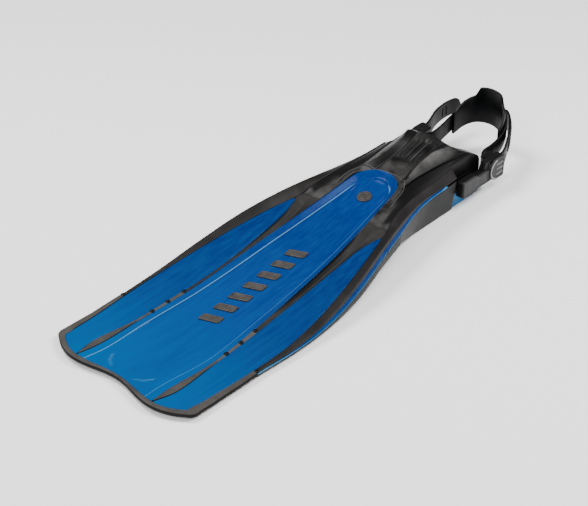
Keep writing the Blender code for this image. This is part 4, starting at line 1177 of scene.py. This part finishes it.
def toe_lip_bm(start, end, sink, rise, round_off):
    """A band of rubber that follows the panel's rounded end, start to end millimetres outside it."""
    path = [(panel_edge_x(y), y, 0.0) for y in spread(-44.0, ROUND_Y - 1.0, 14)]
    path += [(PANEL_ELLIPSE, ROUND_Y, angle) for angle in spread(0.0, math.pi / 2, 40)]
    rings = []
    for base_x, base_y, angle in path:
        ring = []
        for p in rounded(((start, -sink, 0.3), (start, rise, round_off), (end, rise, round_off),
                          (end, -sink, 0.3)), 3):
            reach = APEX_ROUND + p.x
            x = base_x + p.x if angle == 0.0 else (PANEL_ELLIPSE + p.x) * math.cos(angle)
            y = base_y + (reach * math.sin(angle) if angle else 0.0)
            fade = smooth_step((y + 42.0) / 30.0)
            height = p.y * fade - (1.0 - fade) * 0.6 if p.y > 0 else p.y - (1.0 - fade)
            ring.append((x, y, pocket_top(x, y) + height))
        rings.append(ring)
    rings += [[(-x, y, z) for x, y, z in ring] for ring in reversed(rings[:-1])]
    return loft_bm(rings)


def pocket_painted_sheen(x, y, z):
    """Painted sheen: the pocket is paler on the outer flank of each crest, on its instep and beside the
    panel's end.
    """
    ax = abs(x)
    if z < min(crest_z(y), rail_top_z(min(y, 62.0))) - 6.0:
        return 0.0
    flank = (ax - crest_x(y)) / (groove_x(y) - crest_x(y))
    if -0.05 < flank < 0.9 and y > -12.0:
        return 0.95 * (0.9 - flank) * smooth_step((y + 12.0) / 30.0) * smooth_step((116.0 - y) / 20.0)
    if ax < valley_x(y) - 1.5 and y > 0.0:
        return 0.36 - 0.22 * smooth_step((y - 44.0) / 14.0) * smooth_step((19.0 - ax) / 3.0)
    beside = smooth_step((-16.0 - y) / 14.0) * smooth_step((band_inner_x(y) - 7.0 - ax) / 6.0)
    return 0.4 * beside


def build_pocket():
    """The foot pocket, hollowed and cut open, with its toe lip."""
    pocket = make_object("foot_pocket_skin", loft_bm(pocket_rings()), POCKET)
    cut_away(pocket, [loft_bm(cavity_rings())])
    cut_away(pocket, [loft_bm(opening_rings())])
    recess_x = (-SOLE_PLATE_X - 0.3, SOLE_PLATE_X + 0.3)
    recess = box_bm(recess_x, (-14.3, SIDE_WALL_END_Y + 1.0), (-5.0, POCKET_SOLE_Z))
    below_ears = box_bm((-60, 60), (126.0, 160.0), (0.0, 18.5))
    holes = [peg_bm((side * POST_HOLE_X, POST_Y, POST_Z), 2.0, 8.0) for side in (1, -1)]
    cut_away(pocket, [loft_bm(panel_seat_rings()), recess, below_ears, *holes])
    weld(pocket.data)
    paint_line(pocket.data, pocket_painted_sheen)
    shade(pocket.data, 38.0)
    settle(pocket, "root", "elastomer_black", "foot_pocket")
    settle(make_object("toe_lip", toe_lip_bm(0.25, 6.4, 1.5, 0.8, 0.7), LIP), "root", "elastomer_black")
    settle(make_object("toe_bead", toe_lip_bm(7.6, 9.2, 1.5, 0.9, 0.8), BEAD), "root", "elastomer_black")


# ---------------------------------------------------------------- inlays

BAR_COUNT, BARS_Y = 7, (-290.0, -148.0)
BAR_LENGTH, BAR_WIDTH, BAR_LEAN, BAR_H = 24.0, 12.0, 4.0, 1.6
BADGE_Y, BADGE_R = -24.0, 9.5


def surface_frame(x, y):
    """Place and tilt of a small inlay lying on the centre panel's middle."""
    step = 2.0
    slope = (panel_top(x, y + step) - panel_top(x, y - step)) / (2 * step)
    return Matrix.Translation((x, y, panel_top(x, y))) @ Matrix.Rotation(math.atan(slope), 4, "X")


def bar_outline(inset):
    """The bar's slanted outline in plan, drawn in by inset."""
    a, b = BAR_LENGTH / 2 - inset, BAR_WIDTH / 2 - inset
    radius = max(3.0 - inset, 0.6)
    corners = rectangle((-a, a), (-b, b), radius)
    return rounded([(x, y + math.copysign(BAR_LEAN, x), radius) for x, y, _ in corners], 5)


def bar_bm(index):
    """A slanted oblong with a rounded rim round a shallow recess."""
    y = BARS_Y[0] + (BARS_Y[1] - BARS_Y[0]) * index / (BAR_COUNT - 1)
    levels = ((0.0, 0.05), (0.0, BAR_H - 0.6), (0.2, BAR_H - 0.2), (0.6, BAR_H), (1.5, BAR_H),
              (1.9, BAR_H - 0.2), (2.1, BAR_H - 0.7), (2.6, BAR_H - 0.8))
    bm = loft_bm([[(p.x, p.y, h) for p in bar_outline(inset)] for inset, h in levels])
    bmesh.ops.transform(bm, matrix=surface_frame(0.0, y), verts=bm.verts)
    return bm


def build_inlays():
    """The row of bars along the centre panel and a plain round badge."""
    for index in range(BAR_COUNT):
        bar = make_object(f"bar_skin_{index + 1}", bar_bm(index), INLAY)
        settle(bar, "root", "inlay_grey", f"raised_bar_{index + 1}")
    r = BADGE_R
    profile = ((0.0, 0.1), (r, 0.1), (r, 1.0), (r - 0.15, 1.35), (r - 0.5, 1.5), (r - 1.4, 1.5),
               (r - 1.7, 1.3), (r - 1.9, 0.8), (r - 3.2, 0.8), (r - 3.4, 1.2), (r - 3.8, 1.4),
               (r - 4.8, 1.4), (r - 5.2, 1.2), (r - 5.4, 0.8), (1.8, 0.8), (1.6, 1.2), (1.1, 1.4), (0.0, 1.4))
    badge = make_object("badge_skin", turned_bm(profile, 48, surface_frame(0.0, BADGE_Y)), INLAY)
    settle(badge, "root", "inlay_grey", "badge_inlay")


# ---------------------------------------------------------------- buckles

COVER_X, LEVER_X, LEVER_Z, LEVER_REAR_Y = (63.7, 67.0), (63.7, 67.3), (14.5, 44.5), 179.0
LEVER_MID_Z, LEVER_HALF, LEVER_ARC_Y = 29.5, 15.0, 163.0   # centre and radius of the round front
PIN_X, PIN_Y = 61.4, 150.5


def drawn_in(corners, inset):
    """The corners (a, b, radius) of an anticlockwise outline with every side moved in by a distance."""
    moved = []
    for before, here, after in zip(corners[-1:] + corners[:-1], corners, corners[1:] + corners[:1]):
        into = (Vector(here[:2]) - Vector(before[:2])).normalized()
        away = (Vector(after[:2]) - Vector(here[:2])).normalized()
        first, second = Vector((-into.y, into.x)), Vector((-away.y, away.x))
        both = (first + second) / (1.0 + first.dot(second))
        turns_in = into.x * away.y - into.y * away.x < 0
        radius = here[2] + inset if turns_in else max(here[2] - inset, 0.25)
        moved.append((here[0] + both.x * inset, here[1] + both.y * inset, radius))
    return moved


def rimmed_plate_bm(corners, levels):
    """A plate standing on X, from an outline's (y, z, radius) corners and (x, inset) levels."""
    return loft_bm([[(x, p.x, p.y) for p in rounded(drawn_in(corners, inset), 5)] for x, inset in levels])


def cover_bm():
    """The buckle's cover: block and neck in one plate, with a rim round a sunk field."""
    corners = ((91.5, 15.5, 2.6), (118.0, 15.5, 2.0), (122.0, 18.5, 2.0), (144.4, 18.5, 1.0),
               (144.4, 35.5, 1.0), (122.0, 35.5, 2.0), (118.0, 38.0, 2.0), (91.5, 38.0, 2.6))
    low, high = COVER_X
    levels = ((low, 0.0), (high - 1.1, 0.0), (high - 0.4, 0.15), (high - 0.1, 0.45), (high, 0.8),
              (high, 1.3), (high - 0.15, 1.6), (high - 0.6, 1.9), (high - 0.7, 2.3))
    return rimmed_plate_bm(corners, levels)


def lever_outline(inset):
    """The lever from the side: a half round front and a rear end with small chamfers."""
    radius, rear, chamfer = LEVER_HALF - inset, LEVER_REAR_Y - inset, 1.5
    low, high = LEVER_Z[0] + inset, LEVER_Z[1] - inset
    line = []
    for angle in spread(math.radians(90), math.radians(270), 25):
        line.append((LEVER_ARC_Y + radius * math.cos(angle), LEVER_MID_Z + radius * math.sin(angle)))
    return line + [(rear - chamfer, low), (rear, low + chamfer), (rear, high - chamfer),
                   (rear - chamfer, high)]


def lever_bm():
    """The release lever: a plate with a raised rim and a round lug that holds the pin."""
    low, high = LEVER_X
    levels = ((low, 0.3), (low + 0.4, 0.0), (high - 1.2, 0.0), (high - 0.5, 0.3), (high - 0.3, 0.9),
              (high - 0.3, 3.4), (high - 1.0, 3.7), (high - 1.0, 4.6), (high - 0.4, 5.0), (high - 0.4, 5.8))
    plate = loft_bm([[(x, y, z) for y, z in lever_outline(inset)] for x, inset in levels])
    lug_line = []
    for angle in range(90, 271, 12):
        turn = math.radians(angle)
        lug_line.append((PIN_X + 2.6 * math.cos(turn), PIN_Y + 2.6 * math.sin(turn)))
    lug_line += [(low + 0.5, PIN_Y - 1.8), (low + 0.5, PIN_Y + 4.1)]
    lug = loft_bm([[(x, y, LEVER_MID_Z + half) for x, y in lug_line] for half in (-10.3, 10.3)])
    return join_bm([plate, lug])


def lever_ring_bm():
    """The pale ring round the lever's front, standing in its groove."""
    high = LEVER_X[1]
    profile = rounded(((0.9, high - 0.8, 0.2), (0.9, high + 0.15, 0.4), (3.2, high + 0.15, 0.4),
                       (3.2, high - 0.8, 0.2)), 3)
    rings = []
    for angle in spread(math.radians(96), math.radians(264), 49):
        cos, sin = math.cos(angle), math.sin(angle)
        rings.append([(p.y, LEVER_ARC_Y + cos * (LEVER_HALF - p.x), LEVER_MID_Z + sin * (LEVER_HALF - p.x))
                      for p in profile])
    return loft_bm(rings)


def lever_rib_bm(z):
    """A short raised grip rib on the lever's field."""
    high = LEVER_X[1]
    levels = ((high - 1.0, 0.0), (high - 0.2, 0.0), (high + 0.15, 0.25), (high + 0.25, 0.7))
    return rimmed_plate_bm(rectangle((160.5, 175.0), (z - 1.5, z + 1.5), 1.4), levels)


def build_buckles():
    """On each side a cover, and a lever with its pale ring and grip ribs."""
    for label, side in SIDES:
        cover = make_object(f"cover_skin_{label}", mirror_bm(cover_bm(), side), GREY)
        settle(cover, "strap_assembly", "buckle_grey", f"buckle_cover_{label}")
        body = f"lever_{label}"
        lever = make_object(f"lever_skin_{label}", mirror_bm(lever_bm(), side), GREY)
        settle(lever, body, "buckle_grey", f"lever_{label}")
        ring = make_object(f"lever_ring_{label}", mirror_bm(lever_ring_bm(), side), PALE)
        settle(ring, body, "buckle_grey")
        ribs = join_bm([lever_rib_bm(z) for z in (22.5, 29.5, 36.5)])
        settle(make_object(f"lever_ribs_{label}", mirror_bm(ribs, side), MARK), body, "buckle_grey")


# ---------------------------------------------------------------- strap

STRAP_T, STRAP_W, PAD_T = 3.0, 23.0, 4.0
PAD_START_Y, PAD_SAG, PAD_ARCH, PAD_TOP, PAD_CROWN, PAD_TAB = 206.0, 26.0, 15.0, 57.0, 25.0, 11.0
TOOTH_PITCH, TAIL_TEETH = 5.0, (8.0, 66.0)
# The strap's middle line as (x, y, z): from each tail round its crossbar, then inside to the heel.
INNER_RUN = ((54.0, 155.7, 30.5), (48.0, 158.0, 30.8), (42.0, 163.5, 31.8), (39.6, 172.0, 33.0),
             (40.5, 190.0, 35.5), (40.0, 208.0, 41.0), (35.5, 224.0, 49.0), (26.0, 235.5, 57.0),
             (13.0, 241.5, 61.0), (0.0, 243.0, 62.0))
BAR_WRAP = ((59.3, 170.0, 31.0), (59.3, 161.0, 30.5), (58.0, 157.3, 30.5))
TAIL_RIGHT = ((12.0, 251.5, 56.0), (27.0, 242.5, 52.5), (40.5, 226.0, 46.0), (51.0, 206.0, 39.0),
              (59.0, 186.0, 33.0))
TAIL_LEFT = ((62.0, 257.0, 43.5), (67.0, 234.0, 42.5), (66.0, 208.0, 40.0), (61.0, 186.0, 34.5))


def run_lengths(points):
    """The distance along a path at each of its points."""
    lengths = [0.0]
    for a, b in zip(points, points[1:]):
        lengths.append(lengths[-1] + (Vector(b) - Vector(a)).length)
    return lengths


def ribbon_path(right, left):
    """A smooth path from the right run's start to its end in the middle, then out along the left run."""
    points = list(right) + [(-x, y, z) for x, y, z in reversed(left[:-1])]
    knots = run_lengths(points)
    axes = [smooth_curve([(k, p[axis]) for k, p in zip(knots, points)]) for axis in range(3)]
    path = []
    for start, end in zip(knots, knots[1:]):
        for step in range(12):
            t = start + (end - start) * step / 12
            path.append(Vector([axis(t) for axis in axes]))
    path.append(Vector(points[-1]))
    return path


def evenly(path, step):
    """The same path in steps of even length."""
    lengths = run_lengths(path)
    count = max(int(round(lengths[-1] / step)), 2)
    even, k = [], 0
    for i in range(count + 1):
        want = lengths[-1] * i / count
        while k < len(path) - 2 and lengths[k + 1] < want:
            k += 1
        t = (want - lengths[k]) / max(lengths[k + 1] - lengths[k], 1e-9)
        even.append(path[k].lerp(path[k + 1], clamp(t)))
    return even


def heading(path, i):
    """Direction along a path at a step."""
    return (path[min(i + 1, len(path) - 1)] - path[max(i - 1, 0)]).normalized()


def outward(path, i):
    """Horizontal direction across a path at a step."""
    ahead = heading(path, i)
    return Vector((ahead.y, -ahead.x, 0.0)).normalized()


def ribbon_bm(path, corners, inset=0.0):
    """A ribbon with a rounded section along a path; corners(i) gives (across, up, radius) corners."""
    rings = []
    for i, point in enumerate(path):
        across = outward(path, i)
        centre = point + across * inset
        rings.append([tuple(centre + across * p.x + Vector((0, 0, p.y))) for p in rounded(corners(i), 3)])
    return loft_bm(rings)


def strap_corners(lengths):
    """The strap's section at each step, with half round ends."""
    def corners(i):
        tongue = STRAP_W / 2
        reach = clamp(min(lengths[i], lengths[-1] - lengths[i]) / tongue, 0.02)
        half = tongue * math.sqrt(1 - (1 - reach) ** 2)
        return rectangle((-STRAP_T / 2, STRAP_T / 2), (-half, half), 0.8)
    return corners


def tooth_bm(path, i, half_length, height, depth, face):
    """A cross rib standing on one face of the strap at a path step."""
    across, along = outward(path, i), heading(path, i)
    sunk = 0.3 if depth < 1.5 else 0.9
    base = path[i] + across * face * (STRAP_T / 2 - sunk)
    rings = []
    for out, shrink in ((0.0, 0.0), (depth * 0.6, 0.1), (depth + sunk, 0.5)):
        x, z = half_length - shrink, height - shrink
        rings.append([tuple(base + across * face * out + along * p.x + Vector((0, 0, p.y)))
                      for p in rounded(rectangle((-x, x), (-z, z), 0.5), 2)])
    return loft_bm(rings)


def build_strap():
    """The heel strap, with cross ribs outside and shallow slots inside near both ends."""
    path = evenly(ribbon_path(TAIL_RIGHT + BAR_WRAP + INNER_RUN, TAIL_LEFT + BAR_WRAP + INNER_RUN), 1.6)
    lengths = run_lengths(path)
    end = lengths[-1]
    face = 1.0 if outward(path, 4).dot(Vector((1.0, 0.4, 0.0))) > 0 else -1.0

    def cross_rib(place, half_length, height, depth, side):
        i = min(range(len(path)), key=lambda k: abs(lengths[k] - place))
        return tooth_bm(path, i, half_length, height, depth, side)

    teeth = []
    for start, stop in (TAIL_TEETH, (end - 62.0, end - 8.0)):
        for k in range(int((stop - start) / TOOTH_PITCH + 1e-6) + 1):
            teeth.append(cross_rib(start + k * TOOTH_PITCH, 1.1, 8.2, 1.3, face))
    strap = make_object("heel_strap_skin", ribbon_bm(path, strap_corners(lengths)), BLACK)
    cut_away(strap, [cross_rib(place, 1.5, 6.4, 1.6, -face)
                     for place in (27.0, 35.0, end - 35.0, end - 27.0)])
    shade(strap.data, 38.0)
    settle(strap, "strap_assembly", "elastomer_black", "heel_strap")
    settle(make_object("strap_teeth", join_bm(teeth), BLACK), "strap_assembly", "elastomer_black")


def build_heel_pad():
    """The pad inside the strap's heel loop: it arches up to a pull tab in the middle."""
    line = [p for p in INNER_RUN if p[1] >= PAD_START_Y]
    curve = evenly(ribbon_path(line, line), 1.3)
    steps = len(curve) - 1

    def corners(i):
        arch = math.sin(math.pi * i / steps)
        tab = smooth_step((1.0 - abs(i - steps / 2) / (0.21 * steps)) / 0.35)
        low = PAD_SAG + PAD_ARCH * arch - curve[i].z
        high = PAD_TOP + PAD_CROWN * arch ** 0.8 + (PAD_TAB - 0.4) * tab - curve[i].z
        t = PAD_T / 2
        return [(-t, low, 1.2), (t, low, 1.6), (t, high, 1.8), (-t, high, 1.2)]

    pad = ribbon_bm(curve, corners, inset=-(STRAP_T + PAD_T) / 2 - 0.2)
    settle(make_object("heel_pad_skin", pad, GLOSS), "strap_assembly", "elastomer_black", "heel_pad")


# ---------------------------------------------------------------- stage

def build_stage():
    """A pale floor and a white surround."""
    floor = bpy.data.objects.new("floor", bpy.data.meshes.new("floor"))
    bm = bmesh.new()
    bmesh.ops.create_grid(bm, x_segments=1, y_segments=1, size=6.0)
    bm.to_mesh(floor.data)
    bm.free()
    bpy.context.scene.collection.objects.link(floor)
    floor.location.z = cad_box[0].z - 0.0002
    look = Look("floor", 0.0)
    look.set("Base Color", (0.92, 0.92, 0.92, 1.0))
    look.set("Roughness", 0.9)
    floor.data.materials.append(look.material)

    world = bpy.data.worlds.new("studio")
    world.use_nodes = True
    background = world.node_tree.nodes["Background"]
    background.inputs["Color"].default_value = (1.0, 1.0, 1.0, 1.0)
    background.inputs["Strength"].default_value = 0.28
    bpy.context.scene.world = world


def aim(obj, place, direction, axis, up):
    """Put an object at a place with one of its axes along a direction."""
    obj.location = place
    obj.rotation_mode = "QUATERNION"
    obj.rotation_quaternion = direction.to_track_quat(axis, up)
    bpy.context.scene.collection.objects.link(obj)


def build_lights():
    """Area lights: place, aimed point, width, height and power."""
    for name, place, point, width, height, power in (
            ("left", (-0.95, -0.45, 1.60), (0.0, 0.0, 0.0), 0.7, 0.7, 38.0),
            ("right", (0.95, 0.65, 1.55), (0.0, 0.0, 0.0), 0.9, 0.9, 44.0),
            ("front", (0.9, -1.9, 1.7), (0.0, -0.1, 0.0), 1.6, 1.2, 54.0)):
        light = bpy.data.lights.new(name, "AREA")
        light.shape = "RECTANGLE"
        light.size, light.size_y = width, height
        light.energy = power
        aim(bpy.data.objects.new(name, light), place, Vector(point) - Vector(place), "-Z", "Y")


def build_camera():
    """The photo's view."""
    azimuth, elevation = math.radians(42.053), math.radians(33.489)
    level = math.cos(elevation)
    back = Vector((math.sin(azimuth) * level, -math.cos(azimuth) * level, math.sin(elevation)))
    data = bpy.data.cameras.new("camera")
    data.lens, data.sensor_width = 82.65, 36.0
    camera = bpy.data.objects.new("camera", data)
    aim(camera, (0.8811, -1.1290, 0.8958), back, "Z", "Y")
    bpy.context.scene.camera = camera


# CAD nodes that stay visible: start of the name, look, and whether they get small rounded edges.
CAD_LOOKS = (("lever_pin", STEEL, False), ("lever_spring", STEEL, False), ("post_screw", STEEL, False),
             ("strap_crossbar", STEEL, False), ("buckle_post", GREY, True), ("buckle_frame", JET, True),
             ("sole_plate", TRAY, True), ("sole_tread", BLACK, True))


def finish_cad_nodes():
    """Give the visible CAD nodes their looks and edges."""
    for name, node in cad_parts.items():
        for start, mat, soft in CAD_LOOKS:
            if name.startswith(start):
                node.data.materials.clear()
                node.data.materials.append(mat)
                if soft:
                    bevel = node.modifiers.new("soft_edges", "BEVEL")
                    bevel.width = 0.0005
                    bevel.segments = 2
                    bevel.limit_method = "ANGLE"
                    bevel.angle_limit = math.radians(40.0)
                    bevel.harden_normals = True


finish_cad_nodes()
build_blade()
build_pocket()
build_inlays()
build_buckles()
build_strap()
build_heel_pad()
build_stage()
build_lights()
build_camera()

bpy.context.view_layer.update()
